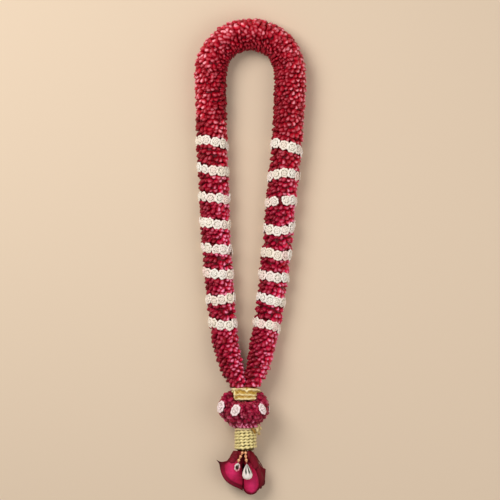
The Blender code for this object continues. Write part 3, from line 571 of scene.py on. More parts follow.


# One white rosette: eight plump petals round a greenish groove with painted shade, a ring of small ones and a
# rolled button

rosette = {
    "radius": 11.2, "columns": 8, "rows": np.array([0.06, 0.3, 0.6, 0.85, 0.97]),
    # near and far radius, half width, rise, thickness and number of the petals, for a radius of 10
    "outer": (3.4, 10.2, 5.0, 2.4, 1.3, 8), "inner": (1.0, 5.2, 3.0, 2.6, 0.9, 5), "innerLift": 1.2,
    "smoothOuter": (3.4, 10.2, 5.4, 2.4, 1.3, 8), "smoothInner": (1.0, 5.2, 4.2, 2.6, 0.9, 3),
    # heights and widths of the button's and the cup's rings
    "button": np.array([(-0.2, 0.9), (0.35, 1.0), (0.7, 0.78), (0.92, 0.42)]), "buttonSize": (2.3, 5.4),
    "cup": np.array([(-0.9, 3.2), (-0.2, 6.0), (0.5, 7.4)]), "cupHeight": 2.4,
    # the groove colour is the flower's greyish green with painted shade
    "cream": paint(252, 240, 222), "white": paint(255, 251, 244), "groove": paint(186, 182, 162),
    "foot": paint(150, 150, 108), "blush": paint(255, 218, 216), "rosy": paint(255, 232, 238),
}


def lobes(middle, out, side, down, near, far, halfWidth, rise, thick, count, offset, colours, sizes):
    # each lobe runs from the near to the far radius. With v from 0 to 1 along it, half its width goes as
    # sin(pi (0.94 v + 0.06)^0.8)^0.7 and its arch as sin(0.86 pi v)^0.8
    turns = (np.arange(count)[None] + offset[:, None]) * math.tau / count
    reachWay = circle(turns, side[:, None], down[:, None])
    widthWay = circle(turns, down[:, None], -side[:, None])
    v = rosette["rows"][:, None]
    u = turnsOf(rosette["columns"])
    reach = near + (far - near) * v
    width = halfWidth * np.sin(math.pi * (v * 0.94 + 0.06) ** 0.8) ** 0.7
    arch = rise * np.sin(math.pi * v * 0.86) ** 0.8
    body = thick * np.sin(math.pi * (v * 0.9 + 0.08)) ** 0.5
    height = arch + body * np.sin(u) - 0.25 * width * np.cos(u) ** 2
    shape = (reachWay[:, :, None, None] * reach[..., None]
             + widthWay[:, :, None, None] * (width * np.cos(u))[..., None]
             + out[:, None, None, None] * height[..., None])
    rings = middle[:, None, None, None] + shape * sizes[:, :, None, None, None]
    root = middle[:, None] + reachWay * near * sizes[..., None]
    end = middle[:, None] + (reachWay * far + out[:, None] * arch[-1]) * sizes[..., None]
    shade = np.broadcast_to(colours, rings.shape)
    return [values.reshape(-1, *values.shape[2:]) for values in (rings, root, end, shade)]


def addRosettes(piece, middle, out, down, size, draw, smooth=False):
    # colour = groove to cream along each petal, where the groove colour is the flower's own green with
    # painted shade at the roots, and cream is blended with white and blush by chance
    n = len(middle)
    side = np.cross(out, down)
    v = rosette["rows"]
    cream = blendColours(rosette["cream"], rosette["white"], draw.uniform(0, 1, (n, 1)))
    cream = blendColours(cream, rosette["blush"], draw.beta(1, 5, (n, 1)))
    if smooth:
        cream = blendColours(cream, rosette["rosy"], np.full((n, 1), 0.8))
    scale = size * rosette["radius"] / 10
    # an outer ring, and an inner one that stands up round the button
    ragged = 0.03 if smooth else 0.10
    for key, lift, uneven, fade in (("outer", 0.0, ragged, (1.8, 0.1)),
                                    ("inner", rosette["innerLift"], 0.1, (2.2, 0.0))):
        shape = rosette["smooth" + key.capitalize() if smooth else key]
        shade = blendColours(rosette["groove"], cream[:, :, None], ease(v * fade[0] - fade[1]))[..., None, :]
        sizes = scale[:, None] * draw.uniform(1 - uneven, 1 + uneven, (n, shape[-1]))
        addShells(piece, *lobes(middle + out * (lift * scale)[:, None], out, side, down, *shape,
                                draw.uniform(0, 1, n), shade, sizes))
    # rolled button: a dome with three faint folds
    ways, scales = (side[:, None, None], down[:, None, None]), scale[:, None, None, None]
    u = turnsOf(9)
    h, wide = rosette["button"].T[..., None]
    ripple = 1 + 0.12 * np.cos(3 * u + 1.4 * h)
    across, tall = rosette["buttonSize"]
    button = circle(u, *ways) * (wide * ripple)[..., None] * across
    button = button + out[:, None, None] * (tall * h[..., None])
    # the button's foot takes the groove colour, as painted shade
    shade = blendColours(rosette["groove"], cream, ease(h[:, 0] * 1.8))[:, :, None]
    addShells(piece, middle[:, None, None] + button * scales, middle - out * 2,
              middle + out * (5.3 * scale)[:, None], shade)
    # green cup behind the petals
    h, wide = rosette["cup"].T[..., None, None]
    cup = circle(turnsOf(10), *ways) * wide + out[:, None, None] * (rosette["cupHeight"] * h)
    addShells(piece, middle[:, None, None] + scales * cup, middle - out * (3.4 * scale)[:, None],
              middle + out * (1.4 * scale)[:, None], rosette["foot"])


bands = {
    "count": 11, "size": (0.89, 1.01), "seat": 3.4, "coreDepth": 6.5,
    "strayTurn": 0.05, "stray": 1.1, "strayLean": 0.10,
    "parted": ("right_3", 91, 0.12),   # this band has parted: where, in degrees, and by how much
}


def rosetteBand(name, number, left, seed):
    # even turns round the band, plus chance and the band's slip
    draw = np.random.default_rng(seed)
    piece = newPiece()
    count = bands["count"]
    run = bandRun(number, left)
    half = strand["bandHeight"] / 2 - strand["gap"] / 2
    # the core under the band is painted dark as shade
    strandCore(piece, np.linspace(run - half, run + half, 4), bands["coreDepth"], fold["gapShadeColour"])
    angles = np.arange(count) + 0.37 * number + draw.normal(0, bands["strayTurn"], count)
    angles = angles * math.tau / count
    partedBand, partedAt, partedBy = bands["parted"]
    if name == partedBand:
        angles = angles + partedBy * np.sign(np.sin(angles - math.radians(partedAt)))
    where = run + draw.normal(0, bands["stray"], count)
    where = where + slipAt(where, angles)
    centre, ahead, inward, up = frameAt(where)
    out = unit(circle(angles, inward, up) + draw.normal(0, bands["strayLean"], (count, 3)))
    size = draw.uniform(*bands["size"], count)
    middle = strandPoint(where, angles, radiusAt(where) - bands["seat"])
    core = piece["points"].pop()
    addRosettes(piece, middle, out, squareTo(out, ahead), size, draw)
    piece["points"] = [core] + [keepToSide(points, centre[:1]) for points in piece["points"]]
    finishPiece(f"rosettes_{name}", piece, rosetteFinish, name.replace("_", "_rosettes_"))


for side, left in (("left", True), ("right", False)):
    for number in range(1, 9):
        rosetteBand(f"{side}_{number}", number, left, 100 + number + 50 * left)
print("rosette bands ready")


# The ball of petals under the tie, with its shoulders and its five rosettes

ball = {
    "x": -12.5, "height": 45.5, "top": -286.0, "end": 49.7, "shoulder": 20.0,
    "front": [(-20, 33), (0, 33), (4.5, 42), (11, 48), (18, 51), (26, 50.5), (34, 46), (42, 38.5),
              (49.7, 28)],
    "side": [(-20, 36), (-12, 42.5), (-6, 46), (0, 48.6), (11, 51), (18, 51.5), (26, 50.5), (34, 46),
             (42, 38.5), (49.7, 28)],
    "pitch": 11.0, "rowPitch": 8.6, "sunk": 4.0, "coreDepth": 8.5, "coreEnds": (4.0, 48.0),
    "moreRows": [0.8, 2.6, 47.5],   # where the outline turns in under the tie and over the collar
    "rosetteRoom": 8.0,   # petals closer to a rosette's middle give way
    # how far petals stray along the ball, in turn, in lean and in depth, and the folds' turn and spread
    "stray": 1.1, "strayTurn": 0.06, "strayLean": 0.13, "strayDepth": (-1.0, 1.8),
    "foldTurn": (60, 30), "sizes": (0.95, 1.2), "sunkPaintedShade": 0.62,
    # rings of tips: one pressed up against the tie, and one that hangs over the top of the collar with a
    # painted highlight on its pale tips.
    # Number, middle, half width and half depth, lean up and paleness
    "rims": [(26, (-12.5, -286.8, 45.5), (33.0, 29.5), 0.7, (0.0, 0.4)),
             (22, (-8.0, -335.5, 43.5), (30.0, 31.5), -0.3, (0.8, 1.0))],
    # turn from straight up, depth, size, the way that it is longest (right, up) and its narrower width
    "rosettes": [(-63, 12.0, 1.16, (0.5, 0.9), 0.9), (-19, 17.5, 1.12, (0.42, 0.9), 0.76),
                 (49, 16.0, 1.06, (-0.3, 0.95), 0.82), (112, 17.0, 1.05, (0, 1), 0.85),
                 (-128, 17.0, 1.05, (0, 1), 0.85)],
    "bodyColour": paint(118, 0, 34), "flankColour": paint(166, 0, 60), "coreShadeColour": paint(84, 0, 22),
}
toRoses = np.array([[0, -1.0, 0]])
sideways, upwards = np.array([1.0, 0, 0]), np.array([0, 0, 1.0])


def ballPoint(depth, turn, sunk=0.0):
    # outline of revolution; at the sides it carries on up past the tie: front + (side - front) * lift(turn)
    lift = ease((np.abs(np.cos(turn)) - 0.72) / 0.24)
    front, side = (np.interp(depth, *zip(*ball[key])) for key in ("front", "side"))
    radius = front + (side - front) * lift - sunk
    return np.stack([ball["x"] + radius * np.cos(turn), ball["top"] - depth + 0 * radius,
                     ball["height"] + radius * np.sin(turn)], axis=-1)


def ballNormal(depth, turn):
    # square to a short step along the outline and one round it
    along = ballPoint(depth + 1.5, turn) - ballPoint(depth - 1.5, turn)
    around = ballPoint(depth, turn + 0.05) - ballPoint(depth, turn - 0.05)
    return unit(np.cross(around, along))


def shoulderTop(turn):
    # depth at which the ball begins: 0 at the front, and the shoulder's height above it at the sides
    return -ball["shoulder"] * ease((np.abs(np.cos(turn)) - 0.72) / 0.24)


def ballSites(layer):
    # rows round the ball, each row's petals between those of the row before
    height = ball["end"] + ball["shoulder"]
    rows = int((height + 12) / ball["rowPitch"])
    depths = -ball["shoulder"] + height * (np.arange(rows) + 0.3) / (rows - 0.4)
    depths = np.append(depths, ball["moreRows"])
    around = np.round(math.tau * np.interp(depths, *zip(*ball["side"])) / ball["pitch"]).astype(int)
    turns = [(np.arange(n) + 0.5 * ((row + layer) % 2)) * math.tau / n for row, n in enumerate(around)]
    return np.repeat(depths, around), np.concatenate(turns)


def ballPetals():
    # two layers of folded petals square to the outline, each moved and turned by chance
    draw = np.random.default_rng(7)
    piece = newPiece()
    t, s = np.meshgrid(turnsOf(40), np.linspace(0, 1, 14))
    near, far = ball["coreEnds"]
    first = shoulderTop(t) + near
    ends = np.array([[ball["x"], ball["top"] - d, ball["height"]] for d in ball["coreEnds"]])
    # the core under the petals is painted dark as shade
    addShells(piece, ballPoint(first + (far - first) * s, t, ball["coreDepth"])[None], ends[:1], ends[1:],
              ball["coreShadeColour"])
    for layer in (0, 1):
        depth, turn = ballSites(layer)
        count = len(depth)
        turn = turn + draw.normal(0, ball["strayTurn"], count)
        depth = np.minimum(depth + draw.normal(0, ball["stray"], count), ball["end"] - 0.3)
        out = unit(ballNormal(depth, turn) + draw.normal(0, ball["strayLean"], (count, 3)))
        tip = ballPoint(depth, turn, ball["sunk"] * (1 - layer) + draw.uniform(*ball["strayDepth"], count))
        # the lower edge and the left flank are paler, as the tips there catch the light
        lit = ease((depth - 25) / 13) * 0.95 + 0.7 * ease(-np.cos(turn) - 0.4) * ease((depth - 10) / 10)
        # the sunk layer's tips are duller and its bodies darker, as painted shade
        pale = draw.beta(0.7, 3.4, count) + lit * draw.uniform(-0.5, 1, count) - 0.8 * (1 - layer)
        body = blendColours(ball["bodyColour"], ball["flankColour"], draw.uniform(0, 1, count))
        body = body * (1.0 if layer else ball["sunkPaintedShade"]) * draw.uniform(0.75, 1.15, count)[:, None]
        angle = np.radians(draw.normal(*ball["foldTurn"], count))
        size = draw.uniform(*ball["sizes"], count)
        petals = foldedPetals(tip, out, squareTo(out, toRoses), size, angle, np.clip(pale, 0, 1), body)
        # petals give way to the tie and to the rosettes pressed in among them
        clear = depth > shoulderTop(turn) + 0.5
        for turned, d, *_ in ball["rosettes"]:
            seat = ballPoint(np.array([float(d)]), np.radians([90.0 - turned]))
            clear &= (np.linalg.norm(tip - seat, axis=1) > ball["rosetteRoom"]) | (layer == 0)
        for points in petals[:3]:
            points[..., 2] = np.maximum(points[..., 2], lowest)
        addShells(piece, *(values[clear] for values in petals))
    for count, place, (wide, deep), lean, pales in ball["rims"]:
        turn = (np.arange(count) + draw.uniform(-0.25, 0.25, count)) * math.tau / count
        radial = circle(turn, sideways, upwards)
        out = unit(radial + [0, lean, 0] + draw.normal(0, 0.08, (count, 3)))
        tip = place + radial * [wide, 0, deep] + draw.uniform(-1, 1, (count, 3)) * [0.8, 1.2, 0.8]
        body = blendColours(ball["bodyColour"], ball["flankColour"], draw.uniform(0.3, 1, count))
        size = draw.uniform(0.8, 1.0, count)
        angle = np.radians(draw.normal(70, 25, count))
        addShells(piece, *foldedPetals(tip, out, squareTo(out, toRoses), size, angle,
                                       draw.uniform(*pales, count), body))
    finishPiece("petals_ball", piece, petalFinish, "petal_ball")


ballPetals()


def narrowed(points, middle, way, share):
    # pressed together across the given way, which lies in the picture plane
    across = unit(np.array([way[1], -way[0], 0.0]))
    return points - (1 - share) * ((points - middle) @ across)[..., None] * across


def ballRosettes():
    # each stands square to the outline, pressed in by its depth, and is narrowed across its long way
    for number, (turned, d, size, way, share) in enumerate(ball["rosettes"], 1):
        draw = np.random.default_rng(200 + number)
        piece = newPiece()
        depth, turn = np.array([float(d)]), np.radians([90.0 - turned])
        out = ballNormal(depth, turn)
        leaned, sunk = (0.3, 1.0) if number == 1 else (0.0, 2.0)   # the first sits a little proud
        middle = ballPoint(depth, turn, sunk)
        down = squareTo(out, unit(toRoses + [0, 0, leaned]))
        addRosettes(piece, middle, out, down, np.array([size]), draw, smooth=True)
        piece["points"] = [narrowed(points, middle[0], way, share) for points in piece["points"]]
        finishPiece(f"rosette_ball_{number}", piece, rosetteFinish, f"ball_rosette_{number}")


ballRosettes()
print("ball ready")


# The gold tie: a crumpled ribbon whose rolled edges cross in a loop at the left

tie = {
    "x": -7.6, "height": 45.0, "top": -260.3, "length": 25.4, "halfWidth": 28.4, "halfDepth": 21.8,
    # bright is a painted highlight on the ridges and deep is painted shade in the hollows
    "columns": 240, "rows": 56, "bright": paint(255, 240, 184), "deep": paint(186, 146, 54),
    "meetsAt": 4, "notchAt": 88, "loopAt": 156,   # degrees from the right, over the top
    # ridges round the ribbon, how they slope down it, their height and where they start
    "creases": [(9, 0.55, 0.5, 0.3), (14, -0.7, 0.35, 1.7), (23, 1.3, 0.22, 2.9), (31, -1.7, 0.16, 0.8)],
}


def goldTie():
    # an oval tube: (half width + swell) cos t and (half depth + swell) sin t, where the swell adds up bells
    # across the depth for the rolled strands and sharp ridges for the creases
    t, d = np.meshgrid(turnsOf(tie["columns"]), np.linspace(0, tie["length"], tie["rows"]))
    right, notch, loop = ((t - math.radians(tie[key]) + math.pi) % math.tau - math.pi
                          for key in ("meetsAt", "notchAt", "loopAt"))
    # three rolled strands: the upper one sinks at the notch, and all meet at the right
    meet = bell(right / 0.24)
    upper = 2.6 + 0.7 * np.sin(2 * t + 0.6) + 3.0 * bell(notch / 0.10) + 5.0 * meet
    lower = 22.6 + 0.8 * np.sin(2 * t + 2.0) - 1.3 * np.cos(t) - 5.5 * meet
    middle = 14.2 + 0.8 * np.sin(3 * t) - 3.0 * bell(loop / 0.3) - 1.5 * meet
    height = 3.2 * bell((d - upper) / 3.0) + 3.0 * bell((d - lower) / 2.6)
    height = height + 2.6 * bell((d - middle) / 2.3) * (1 - bell(loop / 0.3))
    # the loop at the left: a raised ring with a hollow middle
    ringWay = np.hypot(loop * tie["halfWidth"] / 5.4, (d - 12.0) / 9.4)
    height = height * (1 - 0.85 * bell(ringWay / 0.9)) + 3.4 * bell((ringWay - 0.92) / 0.32)
    for turns, slope, amount, phase in tie["creases"]:
        height = height + amount * (1 - 2 * np.abs(np.sin(turns * t / 2 + slope * d / 2 + phase)) ** 0.7)
    edge = ease(np.minimum(d, tie["length"] - d) / 2.6)
    swell = (height - 1.9) * (0.35 + 0.65 * edge) - 3.0 * (1 - edge) ** 2
    wave = 0.5 * np.sin(3 * t + 1) + 0.3 * np.sin(7 * t)
    dip = 4.5 * bell(right / 0.5) * ease((12 - d) / 12)   # its upper edge slopes down at the right
    rings = np.stack([tie["x"] + (tie["halfWidth"] + swell) * np.cos(t),
                      tie["top"] - d + wave * edge - dip + 0.5 * np.sin(5 * t) * (1 - edge),
                      tie["height"] + (tie["halfDepth"] + swell) * np.sin(t)], axis=-1)
    ends = np.array([[tie["x"], tie["top"] - y, tie["height"]] for y in (0.5, tie["length"] - 0.5)])
    piece = newPiece()
    # ridges take the bright colour as a painted highlight and hollows the deep one as painted shade
    addShells(piece, rings[None], ends[:1], ends[1:],
              blendColours(tie["deep"], tie["bright"], np.clip((height + 0.3) / 3.0, 0, 1)))
    finishPiece("ribbon_tie", piece, goldFinish, "gold_tie")


goldTie()


# The gold collar: a gold cord wound round and round, its loose end knotted at the upper right

collar = {
    "x": -9.0, "top": -337.2, "foot": -385.4, "heights": (44.0, 35.2), "turns": 6.5, "radius": 18.8,
    "sleeve": 16.8, "halfThick": 3.3, "halfWide": 3.4, "lumps": 13, "plies": 15, "columns": 16, "steps": 120,
    "bright": paint(250, 234, 166), "deep": paint(84, 66, 16), "smooth": paint(255, 230, 180),
    "strap": [(-1, -335.6, 63), (3.5, -340, 65.5), (7.5, -345, 64.5), (10.5, -350.5, 60)],
    "strapColour": paint(176, 128, 52),
    "knot": (12.6, -341.5, 56.5), "knotSize": (8.4, 8.2, 6.2),
    "knotColours": (paint(140, 108, 50), paint(246, 226, 170)),
    "tails": [[(16, -342, 56), (19.5, -341, 55), (21.5, -344, 53)],
              [(13, -346, 56), (17, -349, 54), (18.5, -354, 50)]],
    "tailColour": paint(216, 186, 120),
}


def collarAxis(share):
    # a straight line from the collar's top to its foot
    high, low = collar["heights"]
    return np.stack([np.full_like(share, collar["x"]),
                     collar["top"] + (collar["foot"] - collar["top"]) * share, high + (low - high) * share],
                    axis=-1)


def woundCord(piece):
    # a coil of radius * (cos turn, sin turn) round the axis, its section an oval whose girth swells in
    # plies all along, long bars at the front left and bead-like lumps at the right. The first turn is smooth
    steps = int(collar["turns"] * collar["steps"])
    s = np.linspace(0, 1, steps)
    turn = math.tau * collar["turns"] * s + 0.6
    pitch = 1 / collar["turns"]
    centre = collarAxis(np.clip(0.5 * pitch + (1 - pitch) * s, 0, 1))
    centre[:, 1] += 0.9 * np.cos(turn - 0.6) * ease(s * 8) * ease((1 - s) * 8) + 0.35 * np.sin(3.3 * turn)
    radial = circle(turn, sideways, upwards)
    centre = centre + (collar["radius"] + 0.3 * np.sin(5.7 * turn))[:, None] * radial
    u = turnsOf(collar["columns"])
    rough = ease((s - 0.13) / 0.04)[:, None]
    beaded = ease(0.5 + 1.6 * np.cos(turn - 0.5))[:, None]
    turn = turn[:, None]
    lump = np.cos(collar["lumps"] * turn + 0.9 * np.sin(u) + 0.8 * np.sin(2.3 * turn))
    plies = np.cos(2 * u - collar["plies"] * turn)
    girth = 0.94 + rough * (0.10 * plies + (0.03 + 0.12 * beaded) * lump)
    girth = girth * ease(np.minimum(s, 1 - s) / 0.004)[:, None]
    rings = (centre[:, None] + (collar["halfThick"] * girth * np.cos(u))[..., None] * radial[:, None]
             + (collar["halfWide"] * girth * np.sin(u))[..., None] * toRoses)
    # the cord is painted bright on its outer side and dark on its inner side, as painted light and shade,
    # with painted highlights on the plies and lumps
    paintedLight = np.clip(0.2 + 0.75 * np.cos(u) + rough * (0.08 * plies + (0.08 + 0.14 * beaded) * lump), 0, 1)
    bright = blendColours(collar["smooth"], collar["bright"], rough)
    addShells(piece, rings[None], centre[:1], centre[-1:], blendColours(collar["deep"], bright, paintedLight))


def goldCollar():
    # sleeve = a cylinder round the axis, inside the wound cord, painted dark as the shade between its turns
    piece = newPiece()
    share = np.linspace(0.0, 1.0, 10)
    sleeve = collarAxis(share)[:, None] + collar["sleeve"] * circle(turnsOf(32), sideways, upwards)
    addShells(piece, sleeve[None], collarAxis(share[:1]), collarAxis(share[-1:]), collar["deep"])
    woundCord(piece)
    # loose end: a strap that crosses down from the upper edge, and a small crumpled knot with two tails
    addTube(piece, smoothPath(collar["strap"], 8), 2.2, 10, collar["strapColour"], 0.5)
    # knot = its size * (sin v cos u, cos v, sin v sin u), swelled and sunk by waves in u and v
    u, v = np.meshgrid(turnsOf(36), np.linspace(0.1, math.pi - 0.1, 22))
    crumple = 1 + 0.14 * np.sin(3 * u + 2 * v) + 0.12 * np.sin(5 * u - 3 * v + 1)
    crumple = crumple + 0.08 * np.cos(7 * u + 5 * v)
    globe = np.stack([np.sin(v) * np.cos(u), np.cos(v), np.sin(v) * np.sin(u)], axis=-1)
    place, end = np.array([collar["knot"]]), np.array([[0, collar["knotSize"][1], 0]])
    knot = globe * collar["knotSize"] * crumple[..., None] + place
    # the knot's swells are painted pale as highlights and its dips dark as shade
    addShells(piece, knot[None], place + end, place - end,
              blendColours(*collar["knotColours"], np.clip(crumple * 1.6 - 1.1, 0, 1)))
    for tail in collar["tails"]:
        path = smoothPath(tail, 6)
        addTube(piece, path, np.linspace(2.4, 2.8, len(path)), 10, collar["tailColour"], 0.45)
    finishPiece("wound_collar", piece, goldFinish, "gold_collar")


goldCollar()
print("gold tie and collar ready")


# Bead strings, each with a white drop

beads = {
    "radius": 3.1, "small": 1.9, "thread": 0.8, "copper": paint(244, 176, 128), "dim": paint(150, 84, 46),
    "left": [(-15, -386.3, 49), (-15.3, -390.3, 50.3), (-18.8, -397.6, 52.4), (-22.4, -404.8, 53.8),
             (-24.2, -409.6, 54.6)],
    "right": [(-8.8, -386.3, 49), (-8.8, -390.3, 50.5), (-8.6, -397.2, 53), (-7.4, -404.2, 55.2),
              (-6.6, -411, 56.4)],
}


def addBeads(piece, knots, radius, colour):
    # radius * (sin v cos u, -cos v, sin v sin u) round each knot
    u, v = np.meshgrid(turnsOf(16), np.linspace(0.25, math.pi - 0.25, 9))
    sphere = np.stack([np.sin(v) * np.cos(u), -np.cos(v), np.sin(v) * np.sin(u)], axis=-1)
    ends = np.array([0, radius * 0.98, 0])
    addShells(piece, knots[:, None, None] + radius * sphere, knots - ends, knots + ends, colour)


def beadString(side):
    # three large beads on a thread, and a small one in the middle of each of its four spans
    piece = newPiece()
    path = smoothPath(beads[side], 8)
    addTube(piece, path, beads["thread"], 8, beads["dim"])
    addBeads(piece, np.array(beads[side][1:-1]), beads["radius"], beads["copper"])
    midway = (path[:-1] + path[1:])[3::8] / 2
    addBeads(piece, midway, beads["small"], blendColours(beads["dim"], beads["copper"], 0.6))
    finishPiece(f"beads_{side}", piece, beadFinish, f"bead_string_{side}")


for side in ("left", "right"):
    beadString(side)


drops = {
    # the left floret's middle and lean, the sizes of its seven lobes and two rings of lobes as in rosette
    "left": (-25.2, -418.0, 54.0), "leftLean": (-0.1, -0.15, 1.0),
    "lobes": [0.95, 1.1, 1.05, 1.08, 1.0, 0.8, 0.5],
    "upper": (3.4, 8.8, 3.8, 3.6, 2.2, 7), "under": (1.0, 8.2, 3.6, 2.0, 2.0, 7),
    "narrowWay": (0.15, 1.0), "narrow": 0.66,
    "cup": np.array([(-1.0, 1.5), (-0.5, 4.2), (0.2, 4.6), (0.7, 2.8)]), "cupHeight": 4.5,
    # the right bud's two ends, and its radius at shares along it
    "start": (-6.4, -411.6, 56.7), "end": (-4.6, -443.0, 58.7),
    "outline": [(0, 0.6), (0.2, 4.6), (0.48, 8.8), (0.72, 10.4), (0.9, 8.4), (1.0, 3.0)],
    "white": paint(255, 246, 240), "green": paint(36, 50, 22), "pink": paint(250, 166, 176),
    # the dark colour is painted shade in the hollow and at the lobes' roots
    "dark": paint(60, 44, 26),
}


def leftDrop():
    # seven plump lobes over seven more, round a hollow painted dark as shade, with the lobes darker towards
    # their roots as painted shade
    draw = np.random.default_rng(31)
    piece = newPiece()
    middle, out = np.array([drops["left"]]), unit(np.array([drops["leftLean"]]))
    down = squareTo(out, toRoses)
    side = np.cross(out, down)
    v = rosette["rows"]
    petals = blendColours(drops["white"], drops["pink"], ease(1.3 - np.abs(np.arange(7) / 7 - 0.2) * 4))
    uneven = np.array([drops["lobes"]]) * draw.uniform(0.95, 1.05, (1, 7))
    for key, sunk, offset, (steep, dark), sizes in (("upper", 0, 0.0, (2.6, 0.2), uneven),
                                                    ("under", 3, 0.5, (1.5, 0.3), np.ones((1, 7)))):
        shade = blendColours(drops["dark"], petals[None, :, None], ease(v * steep - dark))[..., None, :]
        addShells(piece, *lobes(middle - out * sunk, out, side, down, *drops[key], np.full(1, offset), shade,
                                sizes))
    h, wide = drops["cup"].T[..., None, None]
    cup = middle + circle(turnsOf(12), side, down) * wide + out * (drops["cupHeight"] * h)
    addShells(piece, cup[None], middle - out * 5, middle + out * 3.6, drops["dark"])
    piece["points"] = [narrowed(points, middle[0], drops["narrowWay"], drops["narrow"])
                       for points in piece["points"]]
    finishPiece("drop_left", piece, rosetteFinish, "drop_flower_left")


def rightDrop():
    # a ribbed bud: radius = outline of the share along it, times 0.9 + 0.1 * ribs^0.7
    piece = newPiece()
    start, end = np.array(drops["start"]), np.array(drops["end"])
    along = unit(end - start)
    side = unit(np.cross(along, [0, 0.3, 1]))
    share = np.linspace(0.03, 0.985, 22)[:, None]
    u = turnsOf(48)
    ribs = np.abs(np.cos(4 * u - 1.5 * share + 0.5))
    radius = np.interp(share, *zip(*drops["outline"])) * (0.9 + 0.1 * ribs ** 0.7)
    ring = radius[..., None] * circle(u, side, np.cross(side, along))
    rings = start + (end - start) * share[..., None] + ring
    # green shows in the grooves, mostly on the upper right
    facing = np.cos(u - math.radians(112))
    green = (1 - ease((ribs - 0.6) / 0.35)) * ease(1.8 * facing - 0.2) * ease((0.78 - share) / 0.25)
    addShells(piece, rings[None], start[None], end[None], blendColours(drops["white"], drops["green"], green))
    finishPiece("drop_right", piece, rosetteFinish, "drop_flower_right")


leftDrop()
rightDrop()
print("bead strings and drops ready")


# The two roses: large petals with rolled edges painted darker as shade, lapped in layers round a twisted bud

roses = {
    # petals: turn from up towards the left, length, width, spread, flare, light, swell (share of the length
    # at which the full width is reached). Guards: turn and 1 for an inner one
    "left": {
        "start": (-24, -398, 32), "end": (-36, -462, 27),
        "petals": [(160, 58, 23, 62, 3, 0.5, 0.5), (232, 62, 21, 62, 2, 0.5, 0.6),
                   (104, 48, 19, 50, 1.5, 0.3, 0.4), (262, 60, 17, 56, 0, 0.4, 0.6),
                   (128, 54, 18, 56, 0, 0.35, 0.45), (200, 64, 17, 60, 0, 0.4, 0.6),
                   (60, 50, 12, 60, 0, 0.4, 0.6), (320, 56, 11, 60, 0, 0.3, 0.6)],
        "guards": [(82, 1), (150, 0), (225, 1), (300, 0), (20, 1)],
    },
    "right": {
        "start": (1, -402, 31), "end": (8, -472, 25.5),
        "petals": [(128, 68, 20.5, 60, 1.5, 0.5, 0.5), (206, 66, 22, 62, 3, 0.4, 0.5),
                   (254, 56, 20, 50, 2, 0.25, 0.4), (96, 64, 17, 56, 0, 0.5, 0.6),
                   (168, 70, 18, 60, 0, 0.5, 0.6), (236, 66, 17, 60, 0, 0.3, 0.6),
                   (310, 58, 12, 60, 0, 0.25, 0.6), (30, 62, 12, 60, 0, 0.5, 0.6)],
        "guards": [(350, 1), (60, 0), (130, 1), (205, 0), (278, 1)],
    },
    "heel": 5.5, "thickness": 0.9, "rows": 24, "columns": 23, "stemTop": -386.3,
    "seam": {"left": -13.15, "right": -12.85},   # where each rose ends beside the other
    "bud": [(0, 6.0), (0.3, 10), (0.62, 9), (0.84, 5)],   # share along and radius
    "seamPetal": ([(-19, -386.6, 30), (-18, -420, 27), (-18, -445, 26), (-16, -462, 24)],
                  [(-16, -462, 24), (-12, -465, 24), (-8, -462, 24)],
                  [(-6, -386.6, 30), (-7, -420, 27), (-7, -445, 26), (-8, -462, 24)], 1, 0.0, (0.5, 0.5)),
    "guard": (34, 13.5, 62, -2, 0.12, 0.4),   # as a petal's numbers from its length on
    "guardHeel": 5.0, "guardBack": 11.0,
    # blades nearer to each other in plan view than the first distance keep the gap, and less of it out to
    # the second
    "spacing": (1.2, 2.6), "lidGap": 1.3,
    "creases": [(2.3, 0.5, 0.8), (3.6, -0.35, 0.55)],   # number across, lean and depth
    # dark and edge are painted shade, and bright is a painted highlight
    "bright": paint(226, 50, 112), "body": paint(176, 8, 56), "dark": paint(104, 0, 18),
    "edge": paint(88, 0, 20), "dry": paint(48, 10, 20),
}
